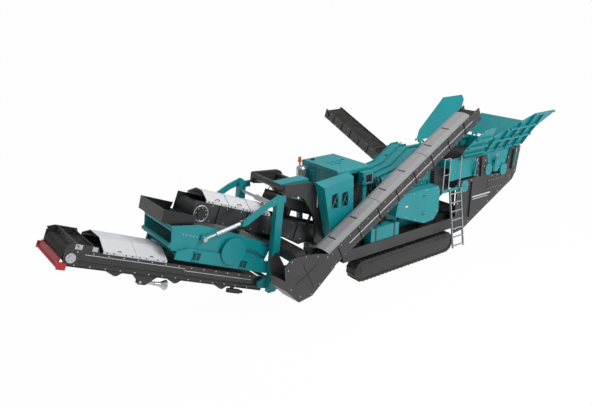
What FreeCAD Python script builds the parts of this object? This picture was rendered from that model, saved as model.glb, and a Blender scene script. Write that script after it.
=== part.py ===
import FreeCAD, Part
import math
import os
import Sketcher

# A tracked mobile impact crusher with a hanging post screen, a return conveyor on its near side,
# a side conveyor on its far side and a folding feed hopper. Millimetres.
# x runs from the fines conveyor's head to the feed hopper, y to the far side, z up, ground at z 0.
# Every outline is drawn about the middle of the tracks, and datum_x and datum_y then shift the
# whole machine so that its origin is the middle of its footprint.

doc = FreeCAD.newDocument("mobile_crusher")
sheet = doc.addObject("Spreadsheet::Sheet", "sizes")
Vec = FreeCAD.Vector

# Driving sizes: name, value, what it is
SIZES = [
    ("datum_x", 2162.92, "shift of the track centre from the footprint's middle"),
    ("datum_y", -1062.475, "shift of the centre plane from the footprint's middle"),
    ("seat_gap", 0.3, "gap under a piece that rests on another body"),
    ("plate_thin", 20, "light plate"),
    ("plate_heavy", 40, "heavy plate"),
    ("track_gauge", 2150, "between the two tracks' centre lines"),
    ("shoe_width", 400, "track shoe width"),
    ("wheel_base", 3700, "between the end wheels of a track"),
    ("track_height", 720, "height of a track over its grousers"),
    ("track_thickness", 95, "shoe, link and grouser"),
    ("grouser", 22, "height of a grouser bar"),
    ("shoe_count", 58, "shoes in one loop"),
    ("roller_radius", 85, "bottom roller"),
    ("guard_inset", 5, "track guard's edge inside the loop"),
    ("rail_inner", 620, "chassis rail's inner face from the centre plane"),
    ("rail_width", 180, "chassis rail width"),
    ("rail_bottom", 850, "underside of the chassis rails"),
    ("rail_height", 300, "chassis rail height"),
    ("rail_left", -2900, "left end of the rails"),
    ("rail_right", 3700, "right end of the rails, along their top"),
    ("side_outer", 1200, "outer face of the chassis side plates"),
    ("eye_radius", 40, "lashing eye in the nose plates and side plates"),
    ("eye_x", 5190, "lashing eye near the hopper end"),
    ("eye_z", 2010, "lashing eye near the hopper end"),
    ("hinge_height", 3200, "hopper wall hinge height"),
    ("hopper_left", 2850, "left end of the folding hopper walls"),
    ("hopper_right", 5600, "hopper end wall hinge"),
    ("hopper_rise", 1274, "top edge of the hopper's side walls above their hinge"),
    ("hopper_depth", 750, "hopper hinge down to the foot of its fixed plates"),
    ("hopper_flare", 31.4, "lean of the side walls, degrees"),
    ("end_wall_lean", 36.2, "lean of the end wall, degrees"),
    ("end_wall_reach", 880, "height of the end wall along its slope"),
    ("wall_plate", 12, "hopper wall plate"),
    ("rib_depth", 90, "ribs behind the hopper walls"),
    ("hinge_pin", 30, "hopper hinge pin radius"),
    ("hinge_gap", 12, "gap between a folding wall's foot and the ears of its hinge"),
    ("pin_clearance", 0.05, "running clearance of every hinge pin"),
    ("ear_radius", 46, "reach of a hinge ear round its pin"),
    ("ear_thickness", 24, "hinge ear plate"),
    ("ear_gap", 2, "side clearance of a hinge lug"),
    ("lug_width", 160, "hinge lug of a hopper wall"),
    ("product_x", -6800, "product conveyor head axis"),
    ("product_z", 3050, "product conveyor head axis"),
    ("product_slope", 22.4, "product conveyor slope, degrees"),
    ("product_half", 500, "half width over the product conveyor frame"),
    ("product_length", 6270, "head axis to the bend, along the belt"),
    ("product_flat", 2800, "level stretch below the crusher"),
    ("product_drum", 200, "product conveyor drum radius"),
    ("belt_thickness", 14, "all belts"),
    ("fines_tail_x", -5310.218, "fines conveyor tail axis and hinge"),
    ("fines_tail_z", 765.543, "fines conveyor tail axis and hinge"),
    ("fines_slope", 22.8, "fines conveyor slope, degrees"),
    ("fines_half", 750, "half width over the fines conveyor frame"),
    ("fines_length", 5250, "between the fines conveyor's drums"),
    ("fines_drum", 150, "fines conveyor drum radius"),
    ("jack_at", -8620, "folding leg pin"),
    ("jack_height", 1760, "folding leg pin"),
    ("jack_rest", 24, "slope of the folded leg, degrees"),
    ("screen_x", -7750, "lower left corner of the screen subframe"),
    ("screen_z", 2160, "lower left corner of the screen subframe"),
    ("screen_slope", 22.8, "screen slope, degrees"),
    ("screen_half", 800, "half width over the screen box"),
    ("screen_length", 2900, "subframe length along the slope"),
    ("return_x", -4000, "return conveyor datum point"),
    ("return_y", -1770, "return conveyor datum point"),
    ("return_z", 1610, "return conveyor datum point, level with its frame top"),
    ("return_slope", 26.3, "return conveyor slope, degrees"),
    ("return_yaw", 4.4, "return conveyor turned towards the hopper, degrees"),
    ("return_half", 290, "half width over the return conveyor frame"),
    ("return_head", 7150, "datum point to head axis, along the belt"),
    ("return_tail", -950, "datum point to tail axis, along the belt"),
    ("return_deep", 440, "depth of the return conveyor frame"),
    ("return_drum", 150, "return conveyor drum radius"),
    ("transfer_x", -4510, "transfer conveyor centre line"),
    ("transfer_z", 1650, "transfer conveyor belt axis"),
    ("transfer_half", 210, "half width over the transfer conveyor frame"),
    ("transfer_drum", 100, "transfer conveyor drum radius"),
    ("bypass_x", 1450, "side conveyor centre line"),
    ("bypass_y", 1450, "side conveyor hinge"),
    ("bypass_z", 2850, "side conveyor hinge"),
    ("bypass_slope", 22, "side conveyor slope, degrees"),
    ("bypass_half", 350, "half width over the side conveyor frame"),
    ("bypass_length", 2900, "hinge to head axis"),
    ("bypass_drum", 130, "side conveyor drum radius"),
    ("canopy_left", -2500, "power unit canopy"),
    ("canopy_right", -1290, "power unit canopy"),
    ("canopy_half", 950, "power unit canopy, far side from the centre plane"),
    ("canopy_near", 750, "power unit canopy, near side from the centre plane"),
    ("canopy_top", 3460, "power unit canopy roof"),
    ("canopy_bottom", 2650, "lower edge of the canopy"),
    ("canopy_wall", 30, "canopy wall thickness"),
    ("deck_top", 2050, "deck under the power unit"),
    ("post_half", 950, "centre plane to the screen posts' middle"),
    ("post_size", 180, "screen post section"),
    ("pivot_x", -5120, "upright pivot of the return conveyor"),
    ("pivot_y", -1420, "upright pivot of the return conveyor"),
    ("pivot_low", 910, "underside of the pivot lug"),
    ("arch_inner", 800, "arch plate's inner face from the centre plane"),
    ("arch_plate", 120, "arch plate thickness"),
]


class Size:
    """A number together with the sheet expression that gives it."""

    def __init__(self, value, text):
        self.value = value
        self.text = text

    def __add__(self, other):
        other = size_of(other)
        return Size(self.value + other.value, f"({self.text} + {other.text})")

    def __sub__(self, other):
        other = size_of(other)
        return Size(self.value - other.value, f"({self.text} - {other.text})")

    def __mul__(self, other):
        other = size_of(other)
        return Size(self.value * other.value, f"({self.text} * {other.text})")

    def __truediv__(self, other):
        other = size_of(other)
        return Size(self.value / other.value, f"({self.text} / {other.text})")

    def __radd__(self, other):
        return size_of(other) + self

    def __rsub__(self, other):
        return size_of(other) - self

    def __rmul__(self, other):
        return size_of(other) * self

    def __neg__(self):
        return Size(-self.value, f"(0 - {self.text})")


def size_of(number):
    if isinstance(number, Size):
        return number
    return Size(float(number), f"({float(number):.6f})")


def cosine(angle):
    return Size(math.cos(math.radians(angle.value)), f"cos({angle.text})")


def sine(angle):
    return Size(math.sin(math.radians(angle.value)), f"sin({angle.text})")


class Cells:
    """The sheet's values, each under its own name."""


s = Cells()
for row, (name, value, note) in enumerate(SIZES, start=1):
    sheet.set(f"A{row}", name)
    sheet.set(f"B{row}", str(value))
    sheet.set(f"C{row}", note)
    sheet.setAlias(f"B{row}", name)
    setattr(s, name, Size(float(value), f"sizes.{name}"))
doc.recompute()


# Makers: each returns a document object whose sizes are bound to the sheet


def bind(thing, path, number):
    thing.setExpression(path, size_of(number).text)


def shift(thing, x, y, z):
    for axis, number in (("x", x), ("y", y), ("z", z)):
        setattr(thing.Placement.Base, axis, size_of(number).value)
        bind(thing, f"Placement.Base.{axis}", number)


def block(label, x, y, z):
    """A box from its low and high value on each axis."""
    box = doc.addObject("Part::Box", label)
    bind(box, "Length", size_of(x[1]) - x[0])
    bind(box, "Width", size_of(y[1]) - y[0])
    bind(box, "Height", size_of(z[1]) - z[0])
    shift(box, x[0], y[0], z[0])
    return box


TURNS = {"x": (Vec(0, 1, 0), 90), "y": (Vec(1, 0, 0), -90), "z": (Vec(0, 0, 1), 0)}


def rod(label, axis, start, radius, length):
    """A cylinder that runs from start along one axis."""
    bar = doc.addObject("Part::Cylinder", label)
    bind(bar, "Radius", radius)
    bind(bar, "Height", length)
    turn, angle = TURNS[axis]
    bar.Placement = FreeCAD.Placement(Vec(0, 0, 0), FreeCAD.Rotation(turn, angle))
    shift(bar, *start)
    return bar


def pin(sketch, index, spot, u, v):
    """Ties one point of a sketch to its place."""
    for kind, number in (("DistanceX", u), ("DistanceY", v)):
        number = size_of(number)
        made = sketch.addConstraint(
            Sketcher.Constraint(kind, -1, 1, index, spot, number.value))
        sketch.setExpression(f"Constraints[{made}]", number.text)


def draw_round(sketch, u, v, radius):
    radius = size_of(radius)
    centre = Vec(size_of(u).value, size_of(v).value, 0)
    index = sketch.addGeometry(Part.Circle(centre, Vec(0, 0, 1), radius.value), False)
    pin(sketch, index, 3, u, v)
    made = sketch.addConstraint(Sketcher.Constraint("Radius", index, radius.value))
    sketch.setExpression(f"Constraints[{made}]", radius.text)


def draw_sharp(sketch, points):
    flat = [Vec(size_of(p[0]).value, size_of(p[1]).value, 0) for p in points]
    count = len(flat)
    first = sketch.GeometryCount
    lines = [Part.LineSegment(flat[i], flat[(i + 1) % count]) for i in range(count)]
    sketch.addGeometry(lines, False)
    for i in range(count):
        following = first + (i + 1) % count
        sketch.addConstraint(Sketcher.Constraint("Coincident", first + i, 2, following, 1))
    for i, point in enumerate(points):
        pin(sketch, first + i, 1, point[0], point[1])


# A sketch on XZ looks along +Y, so its offset and its pad run towards -Y
PLANES = {"XY": ("XY_Plane", 1), "XZ": ("XZ_Plane", -1), "YZ": ("YZ_Plane", 1)}


def outline(body, label, plane, loops, level):
    """A sketch on one of the body's own planes. A loop is ("round", u, v, radius) or corners."""
    role, sense = PLANES[plane]
    sketch = body.newObject("Sketcher::SketchObject", label)
    support = [item for item in body.Origin.OriginFeatures if item.Role == role][0]
    sketch.AttachmentSupport = [(support, "")]
    sketch.MapMode = "FlatFace"
    level = size_of(level)
    bind(sketch, "AttachmentOffset.Base.z", level if sense > 0 else -level)
    for loop in loops:
        if loop[0] == "round":
            draw_round(sketch, *loop[1:])
        else:
            draw_sharp(sketch, loop)
    return sketch


def corner_edges(shape, plane, corner):
    """Names of the pad's edges that stand on one corner of its outline."""
    across = {"XY": ("x", "y"), "XZ": ("x", "z"), "YZ": ("y", "z")}[plane]
    found = []
    for number, edge in enumerate(shape.Edges, start=1):
        gaps = [abs(getattr(vertex.Point, axis) - size_of(number_at).value)
                for vertex in edge.Vertexes for axis, number_at in zip(across, corner)]
        if len(edge.Vertexes) == 2 and max(gaps) < 0.01:
            found.append(f"Edge{number}")
    return found


def plate(label, plane, loops, low, high):
    """A padded outline between two levels along the plane's normal. A corner of the outline
    is (u, v), or (u, v, radius) where it is rounded."""
    body = doc.addObject("PartDesign::Body", label)
    level = low if PLANES[plane][1] > 0 else high
    sketch = outline(body, label + "_outline", plane, loops, level)
    pad = body.newObject("PartDesign::Pad", label + "_pad")
    pad.Profile = (sketch, [""])
    bind(pad, "Length", size_of(high) - low)
    corners = [point for loop in loops if loop[0] != "round" for point in loop if len(point) > 2]
    for number, corner in enumerate(corners):
        doc.recompute()
        fillet = body.newObject("PartDesign::Fillet", f"{label}_bend_{number}")
        edges = corner_edges(body.Shape, plane, corner[:2])
        fillet.Base = (body.Group[-2], edges)
        bind(fillet, "Radius", corner[2])
    return body


def lofted(label, plane, first, second, low, high):
    """A straight loft between two outlines with as many corners each."""
    body = doc.addObject("PartDesign::Body", label)
    near = outline(body, label + "_low", plane, [first], low)
    far = outline(body, label + "_high", plane, [second], high)
    loft = body.newObject("PartDesign::AdditiveLoft", label + "_loft")
    loft.Profile = (near, [""])
    loft.Sections = [(far, [""])]
    loft.Ruled = True
    return body


def turned(label, profile, axis):
    """A solid of revolution: the profile's (along, radius) points about its first axis."""
    body = doc.addObject("PartDesign::Body", label)
    plane = {"x": "XY", "y": "YZ", "z": "XZ"}[axis]
    if axis == "z":
        loop = [(radius, along) for along, radius in profile]
    else:
        loop = [(along, radius) for along, radius in profile]
    sketch = outline(body, label + "_profile", plane, [loop], 0)
    spin = body.newObject("PartDesign::Revolution", label + "_spin")
    spin.Profile = (sketch, [""])
    spin.ReferenceAxis = (sketch, ["V_Axis"] if axis == "z" else ["H_Axis"])
    spin.Angle = 360
    return body


def joined(label, things):
    if len(things) == 1:
        return things[0]
    fuse = doc.addObject("Part::MultiFuse", label)
    fuse.Shapes = things
    fuse.Refine = True
    return fuse


def grouped(label, things):
    """Separate solids of one node, apart or welded face to face."""
    group = doc.addObject("Part::Compound", label)
    group.Links = things
    return group


def less(label, base, tools):
    cut = doc.addObject("Part::Cut", label)
    cut.Base = base
    cut.Tool = tools[0] if len(tools) == 1 else joined(label + "_tools", tools)
    return cut


def fixed(label, shape):
    feature = doc.addObject("Part::Feature", label)
    feature.Shape = shape
    return feature


def slot(label, y, length, radius, height):
    """A flat piece with round ends, along x, centred on x 0."""
    half = size_of(length) / 2
    parts = [block(label + "_web", (-half, half), y, (height - radius, height + radius))]
    for tag, place in (("a", -half), ("b", half)):
        parts.append(rod(f"{label}_{tag}", "y", (place, y[0], height), radius, size_of(y[1]) - y[0]))
    return joined(label, parts)


def span(side, inner, outer):
    """The y range between two distances from the centre plane."""
    if side > 0:
        return (size_of(inner), size_of(outer))
    return (-size_of(outer), -size_of(inner))


NODES = []


def node(name, thing, base=(0, 0, 0), turns=()):
    """Names a finished piece and puts it in its place: turns are (axis, degrees) pairs."""
    thing.Label = name
    x, y, z = (size_of(number) for number in base)
    text = f"placement(vector({(x + s.datum_x).text}; {(y + s.datum_y).text}; {z.text}); "
    text += "rotation(vector(0; 0; 1); 0))"
    for axis, angle in turns:
        unit = {"x": "1; 0; 0", "y": "0; 1; 0", "z": "0; 0; 1"}[axis]
        text += f" * placement(vector(0; 0; 0); rotation(vector({unit}); {size_of(angle).text}))"
    thing.setExpression("Placement", text)
    NODES.append(thing)
    return thing


SIDES = (("left", 1), ("right", -1))

# Tracks: a loop whose outline carries the shoes and their grousers
shoe_radius = s.track_height / 2
root_radius = shoe_radius - s.grouser
loop_inner = shoe_radius - s.track_thickness
wheel_height = shoe_radius
track_inner = s.track_gauge / 2 - s.shoe_width / 2
track_outer = s.track_gauge / 2 + s.shoe_width / 2


def on_loop(distance, lift):
    """A point of the track's outline, by its distance along the root line."""
    straight = s.wheel_base.value
    bend = math.pi * root_radius.value
    distance = distance % (2 * straight + 2 * bend)
    radius = root_radius.value + lift
    if distance < straight:
        return Vec(distance - straight / 2, 0, radius)
    distance -= straight
    if distance < bend:
        angle = distance / root_radius.value
        return Vec(straight / 2 + radius * math.sin(angle), 0, radius * math.cos(angle))
    distance -= bend
    if distance < straight:
        return Vec(straight / 2 - distance, 0, -radius)
    angle = (distance - straight) / root_radius.value
    return Vec(-straight / 2 - radius * math.sin(angle), 0, -radius * math.cos(angle))


def track_shape():
    count = int(s.shoe_count.value)
    pitch = (2 * s.wheel_base.value + 2 * math.pi * root_radius.value) / count
    # Along one shoe, as a share of the pitch: how far along and whether on the grouser
    shoe = ((0.02, 0), (0.30, 0), (0.38, 1), (0.50, 1), (0.58, 0))
    corners = []
    for index in range(count):
        for share, raised in shoe:
            corners.append(on_loop((index + share) * pitch, raised * s.grouser.value))
    outer = Part.makePolygon(corners + corners[:1])
    half, radius = s.wheel_base.value / 2, loop_inner.value
    top_left, top_right = Vec(-half, 0, radius), Vec(half, 0, radius)
    low_left, low_right = Vec(-half, 0, -radius), Vec(half, 0, -radius)
    inner = Part.Wire([
        Part.makeLine(top_left, top_right),
        Part.Arc(top_right, Vec(half + radius, 0, 0), low_right).toShape(),
        Part.makeLine(low_right, low_left),
        Part.Arc(low_left, Vec(-half - radius, 0, 0), top_left).toShape(),
    ])
    face = Part.makeFace([outer, inner], "Part::FaceMakerBullseye")
    return face.extrude(Vec(0, s.shoe_width.value, 0))


for side_name, side in SIDES:
    low_y = span(side, track_inner, track_outer)[0]
    track = fixed(f"track_{side_name}", track_shape())
    node(f"track_{side_name}", track, (0, low_y, wheel_height))

# Track frames: beam, rollers, outer guard plate and the stubs that reach the chassis
guard_radius = loop_inner - s.guard_inset
roller_height = s.track_thickness + s.roller_radius
beam_low = roller_height + s.roller_radius
beam_high = beam_low + 250
for side_name, side in SIDES:
    label = f"track_frame_{side_name}"
    parts = [
        slot(label + "_guard", span(side, track_outer - 45, track_outer - 15), s.wheel_base,
             guard_radius, wheel_height),
        slot(label + "_crease", span(side, track_outer - 15, track_outer - 7),
             s.wheel_base, guard_radius - 60, wheel_height),
        block(label + "_beam", (-1500, 1500), span(side, track_inner + 30, track_outer - 45),
              (beam_low, beam_high)),
        block(label + "_crown", (-900, 900), span(side, track_inner + 110, track_outer - 160),
              (beam_high, s.track_height - s.track_thickness - s.seat_gap)),
    ]
    for spot in (-1200, 1200):
        parts.append(block(f"{label}_stub_{spot}", (spot - 250, spot + 250),
                           span(side, track_inner - 10 + s.seat_gap, track_inner + 30),
                           (beam_low, beam_high)))
    for number in range(7):
        spot = -1260 + 420 * number
        y = span(side, track_inner + 50, track_outer - 60)
        parts.append(rod(f"{label}_roller_{number}", "y", (spot, y[0], roller_height),
                         s.roller_radius - s.seat_gap / 2, y[1] - y[0]))
    node(label, joined(label, parts))

# End wheels: the sprocket at the left, the idler at the right
WHEELS = (("sprocket", -1), ("idler", 1))
for side_name, side in SIDES:
    wheels = []
    for wheel_name, end in WHEELS:
        label = f"{wheel_name}_{side_name}"
        place = s.wheel_base / 2 * end
        rim = span(side, track_inner + 90, track_outer - 90)
        hub = span(side, track_inner + 40, track_outer - 45)
        parts = [
            rod(label + "_rim", "y", (place, rim[0], wheel_height), loop_inner - s.seat_gap,
                rim[1] - rim[0]),
            rod(label + "_hub", "y", (place, hub[0], wheel_height), 110, hub[1] - hub[0]),
        ]
        wheels.append(joined(label, parts))
    node(f"end_wheels_{side_name}", grouped(f"end_wheels_{side_name}", wheels))

# Chassis: two rails, brackets down to the track frames, side plates at the hopper end
rail_top = s.rail_bottom + s.rail_height
rail_outer = s.rail_inner + s.rail_width
# Cross members: name, left, right, low, high, half width, whether wings carry it outwards
CROSS = (
    ("front", -700, -400, 1010, 1150, s.rail_inner, False),
    ("middle", 1700, 1950, 1000, 1150, s.rail_inner, False),
    ("hopper_low", 3050, 3250, 900, 1150, s.rail_inner, True),
    ("hopper_mid", 4300, 4500, 1560, 1760, s.rail_inner, True),
    ("hopper_end", 5240, 5400, 2080, 2400, s.side_outer - s.plate_heavy, False),
    ("rear_floor", 2350, 2500, 900, 1150, s.rail_inner, True),
)
welded = []
for side_name, side in SIDES:
    chassis = []
    label = f"chassis_{side_name}"
    chassis.append(plate(label + "_rail", "XZ", [[
        (s.rail_left, s.rail_bottom), (s.rail_right - 560, s.rail_bottom), (s.rail_right, rail_top),
        (s.rail_left, rail_top)]], *span(side, s.rail_inner, rail_outer)))
    chassis.append(plate(label + "_nose", "XZ", [[
        (s.rail_left - 520, rail_top + 40), (s.rail_left - 520, rail_top + 280),
        (s.rail_left + 500, rail_top + 280), (s.rail_left + 900, rail_top),
        (s.rail_left + 400, s.rail_bottom), (s.rail_left, s.rail_bottom)],
        ("round", s.rail_left - 380, rail_top + 150, s.eye_radius)],
        *span(side, s.rail_inner, rail_outer)))
    for spot in (-1200, 1200):
        welded.append(block(f"{label}_bracket_{spot}", (spot - 300, spot + 300),
                             span(side, rail_outer, track_inner - 10), (beam_low, rail_top)))
    chassis.append(plate(label + "_side", "XZ", [[
        (2300, 560), (2750, 610), (5310, 1960), (5470, 2210), (5600, s.hinge_height - 70),
        (5000, s.hinge_height - 60), (4800, 2300), (3950, 2350), (3730, s.hinge_height - 120),
        (3230, s.hinge_height - 100), (3230, 2390), (2300, 2390)],
        ("round", s.eye_x, s.eye_z, s.eye_radius)],
        *span(side, s.side_outer - s.plate_heavy, s.side_outer)))
    chassis.append(block(label + "_deck", (-2600, 2340), span(side, rail_outer, s.side_outer),
                         (s.track_height + 60, s.track_height + 80)))
    chassis.append(block(label + "_skirt", (-2600, 2340),
                         span(side, s.side_outer - 20, s.side_outer),
                         (s.track_height + 80, rail_top)))
    chassis.append(plate(label + "_riser", "XZ", [[
        (3300, rail_top - 20), (s.rail_right - 40, rail_top - 20), (4940, 1800), (4250, 1800)]],
        *span(side, s.rail_inner, rail_outer)))
    for name, left, right, low, high, half, wings in CROSS:
        if wings:
            chassis.append(block(f"{label}_wing_{name}", (left, right),
                                 span(side, rail_outer, s.side_outer - s.plate_heavy), (low, high)))
    welded.append(joined(label, chassis))
for name, left, right, low, high, half, wings in CROSS:
    welded.append(block(f"chassis_cross_{name}", (left, right), (-half, half), (low, high)))
node("chassis_frame", grouped("chassis_frame", welded))

# Feed hopper body: side plates inside the chassis plates, end plate and hinge beams
body_face = s.side_outer - s.plate_heavy
body_inner = body_face - s.plate_thin
hopper_foot = s.hinge_height - s.hopper_depth
hopper = {"left": [], "right": [], "end": []}
for side_name, side in SIDES:
    label = f"hopper_{side_name}"
    hopper[side_name].append(plate(label + "_plate", "XZ", [[
        (1900, hopper_foot), (5200, hopper_foot), (s.hopper_right - 60, hopper_foot + 350),
        (s.hopper_right - 40, s.hinge_height - 60), (1900, s.hinge_height - 60)]],
        *span(side, body_inner, body_face)))
    hopper[side_name].append(block(label + "_beam", (1900, s.hopper_right - 40),
                        span(side, body_face - 140, body_face),
                        (s.hinge_height - 160, s.hinge_height - 60)))
    for number in range(6):
        spot = 2300 + 560 * number
        hopper[side_name].append(block(f"{label}_rib_{number}", (spot, spot + 20),
                            span(side, body_face - 120, body_inner),
                            (hopper_foot, s.hinge_height - 160)))
beam_inner = body_face - 140
beam_foot = s.hinge_height - 160
end_left = s.hopper_right - 80
hopper["end"] = [
    block("hopper_end_plate", (end_left, s.hopper_right - 40), (-body_inner, body_inner),
          (hopper_foot + 50, beam_foot)),
    block("hopper_end_band", (end_left, s.hopper_right - 40), (-beam_inner, beam_inner),
          (beam_foot, s.hinge_height - 60)),
]
left_cross = [
    block("hopper_left_cross", (1900, 1940), (-body_inner, body_inner),
          (s.hinge_height - 330, beam_foot)),
    block("hopper_left_band", (1900, 1940), (-beam_inner, beam_inner),
          (beam_foot, s.hinge_height - 60)),
]
# Folding hopper walls. Drawn in each wall's own plane, then leaned outwards about the hinge.
# v runs up the wall from the hinge, u along x.
wall_reach = s.hopper_rise / cosine(s.hopper_flare)
flare_top = s.hopper_right + 520


ear_reach = s.ear_gap + s.ear_thickness
wall_foot = s.ear_radius + s.hinge_gap


def knuckle_place(left, number):
    """The left face of one of a side wall's four hinge lugs."""
    return left + 120 + (s.hopper_right - 420 - left) * (number / 3)


def side_wall(label, side, left, left_top, left_step):
    """Plate, hinge tube, top rim and ribs; y is through the wall, outwards positive."""
    out = side
    face = [[(left, wall_foot), (left_step[0], left_step[1]), (left_top, wall_reach),
             (flare_top, wall_reach), (flare_top, wall_reach - 200),
             (s.hopper_right + 120, wall_reach - 620), (s.hopper_right - 60, wall_foot)]]
    parts = [plate(label + "_sheet", "XZ", face, *span(out, 0, s.wall_plate))]
    parts.append(block(label + "_rim", (left_top, flare_top), span(out, 0, 70),
                       (wall_reach - 60, wall_reach)))
    parts.append(block(label + "_foot", (left, s.hopper_right - 60), span(out, 0, 60),
                       (wall_foot, wall_foot + 60)))
    # The sheet's left edge leans by this run for each unit of rise above its step
    lean = (size_of(left_top) - left_step[0]) / (wall_reach - left_step[1])
    for number, height in enumerate((0.34, 0.64)):
        rise = wall_reach * height + 50 - left_step[1]
        start = left_step[0] + (lean * rise if rise.value > 0 else 0) + 60
        parts.append(block(f"{label}_rail_{number}", (start, s.hopper_right - 20),
                           span(out, 0, s.rib_depth), (wall_reach * height, wall_reach * height + 50)))
    count = 5
    for number in range(count):
        place = left_step[0] + (s.hopper_right - 200 - left_step[0]) * (number / (count - 1)) + 60
        edge = (place - left_step[0]) / lean + left_step[1]
        top = edge if edge.value < wall_reach.value else wall_reach
        parts.append(block(f"{label}_post_{number}", (place, place + 16), span(out, 0, s.rib_depth),
                           (wall_foot + 30, top - 30)))
    for number in range(4):
        place = knuckle_place(left, number)
        parts.append(rod(f"{label}_knuckle_{number}", "x", (place - ear_reach, 0, 0),
                         s.hinge_pin, s.lug_width + 2 * ear_reach))
        parts.append(block(f"{label}_lug_{number}", (place, place + s.lug_width),
                           span(out, -12, 45), (0, wall_foot + 20)))
    return joined(label, parts)


WALLS = (
    ("hopper_wall_left", 1, s.hopper_left, 5020, (s.hopper_left + 330, 420)),
    ("hopper_wall_right", -1, s.hopper_left + 500, 5020, (s.hopper_left + 560, 700)),
)
for name, side, left, left_top, left_step in WALLS:
    wall = side_wall(name, side, left, left_top, left_step)
    node(name, wall, (0, s.side_outer * side, s.hinge_height), (("x", -s.hopper_flare * side),))

# The hopper body's ears carry the walls' pins
pin_bore = s.hinge_pin + s.pin_clearance
for name, side, left, left_top, left_step in WALLS:
    axis = s.side_outer * side
    ear = [(side * (s.side_outer - 110), s.hinge_height - 65),
           (side * (s.side_outer + 43), s.hinge_height - 30),
           (side * (s.side_outer + 43), s.hinge_height + 10),
           (side * (s.side_outer + 20), s.hinge_height + 38),
           (side * (s.side_outer - 30), s.hinge_height + 32),
           (side * (s.side_outer - 110), s.hinge_height - 20)]
    for number in range(4):
        place = knuckle_place(left, number)
        for tag, low in (("a", place - ear_reach), ("b", place + s.lug_width + s.ear_gap)):
            ears = hopper["left" if side > 0 else "right"]
            ears.append(plate(f"{name}_ear_{number}_{tag}", "YZ",
                                [ear, ("round", axis, s.hinge_height, pin_bore)],
                                low, low + s.ear_thickness))

# End wall, hinged across the machine; it narrows upwards to fold in between the side walls
end_half = s.side_outer - 100
end_top = s.side_outer - 200
end_parts = [
    plate("end_sheet", "YZ", [[(-end_half, wall_foot), (end_half, wall_foot), (end_top, s.end_wall_reach),
                               (-end_top, s.end_wall_reach)]], 0, s.wall_plate),
    block("end_rim", (0, 70), (-(end_top - 50), end_top - 50), (s.end_wall_reach - 60, s.end_wall_reach)),
    block("end_foot", (0, 60), (-end_half, end_half), (wall_foot, wall_foot + 60)),
]
for number in range(5):
    place = -(end_top - 80) + ((end_top - 80) * 2 - 16) * (number / 4)
    end_parts.append(block(f"end_post_{number}", (0, s.rib_depth), (place, place + 16),
                           (wall_foot + 30, s.end_wall_reach - 30)))
end_ear = [(s.hopper_right - 60, s.hinge_height - 120), (s.hopper_right - 20, s.hinge_height - 120),
           (s.hopper_right + 43, s.hinge_height - 20), (s.hopper_right + 38, s.hinge_height + 20),
           (s.hopper_right - 20, s.hinge_height + 40), (s.hopper_right - 60, s.hinge_height - 40)]
for number in range(3):
    place = -end_half + 200 + (end_half * 2 - 560) * (number / 2)
    end_parts.append(rod(f"end_knuckle_{number}", "y", (0, place - ear_reach, 0), s.hinge_pin,
                         s.lug_width + 2 * ear_reach))
    end_parts.append(block(f"end_lug_{number}", (-12, 45), (place, place + s.lug_width),
                           (0, wall_foot + 20)))
    for tag, low in (("a", place - ear_reach), ("b", place + s.lug_width + s.ear_gap)):
        hopper["end"].append(plate(f"end_ear_{number}_{tag}", "XZ",
                            [end_ear, ("round", s.hopper_right, s.hinge_height, pin_bore)],
                            low, low + s.ear_thickness))
node("hopper_end_wall", joined("hopper_end_wall", end_parts), (s.hopper_right, 0, s.hinge_height),
     (("y", s.end_wall_lean),))
node("hopper_body", grouped("hopper_body", [joined(f"hopper_{place}", parts)
                                            for place, parts in hopper.items()]
                            + [joined("hopper_left_end", left_cross)]))

# Fixed hopper panel at the near left, below the return conveyor's head
panel = [plate("panel_sheet", "XZ", [[
    (2300, 0), (3330, 0), (3330, 700), (3250, wall_reach - 260), (2700, wall_reach - 300),
    (2300, 500)]], *span(-1, 0, s.wall_plate))]
for number, height in enumerate((180, 480, 780)):
    left = 2330 if number < 2 else 2560
    panel.append(block(f"panel_rail_{number}", (left, 3310), span(-1, 0, s.rib_depth),
                       (height, height + 50)))
panel.append(block("panel_foot", (2300, 3330), span(-1, 0, 60), (0, 60)))
node("hopper_panel", joined("hopper_panel", panel), (0, -s.side_outer + 40, s.hinge_height - 60),
     (("x", s.hopper_flare),))

# Vibrating feeder: pan, walls and grizzly bars over the drop to the side conveyor
feeder_half = 880
spring_spots = (2425, 4400)
spring_y = 930
feeder = [
    block("feeder_floor", (2700, 5200), (-feeder_half, feeder_half), (2330, 2370)),
    block("feeder_mid_pan", (1500, 2700), (-feeder_half, feeder_half), (2150, 2170)),
]
for side_name, side in SIDES:
    feeder.append(plate(f"feeder_{side_name}", "XZ", [[
        (1500, 2100), (5200, 2100), (5200, 2850), (1500, 2850)]],
        *span(side, feeder_half - 30, feeder_half)))
for number in range(9):
    place = -760 + number * 190 - 35
    feeder.append(plate(f"feeder_bar_{number}", "YZ", [[
        (place, 2370), (place + 70, 2370), (place + 50, 2270), (place + 20, 2270)]], 1560, 2720))
feeder.append(block("feeder_bar_beam", (2640, 2760), (-feeder_half + 30, feeder_half - 30), (2200, 2330)))
feeder.append(block("feeder_bar_front", (1500, 1580), (-feeder_half + 30, feeder_half - 30), (2200, 2340)))
for side_name, side in SIDES:
    for number, place in enumerate(spring_spots):
        feeder.append(block(f"feeder_bracket_{side_name}_{number}", (place - 110, place + 110),
                            span(side, feeder_half - 10, spring_y + 80), (2100, 2130)))
node("grizzly_feeder", joined("grizzly_feeder", feeder))

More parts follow.
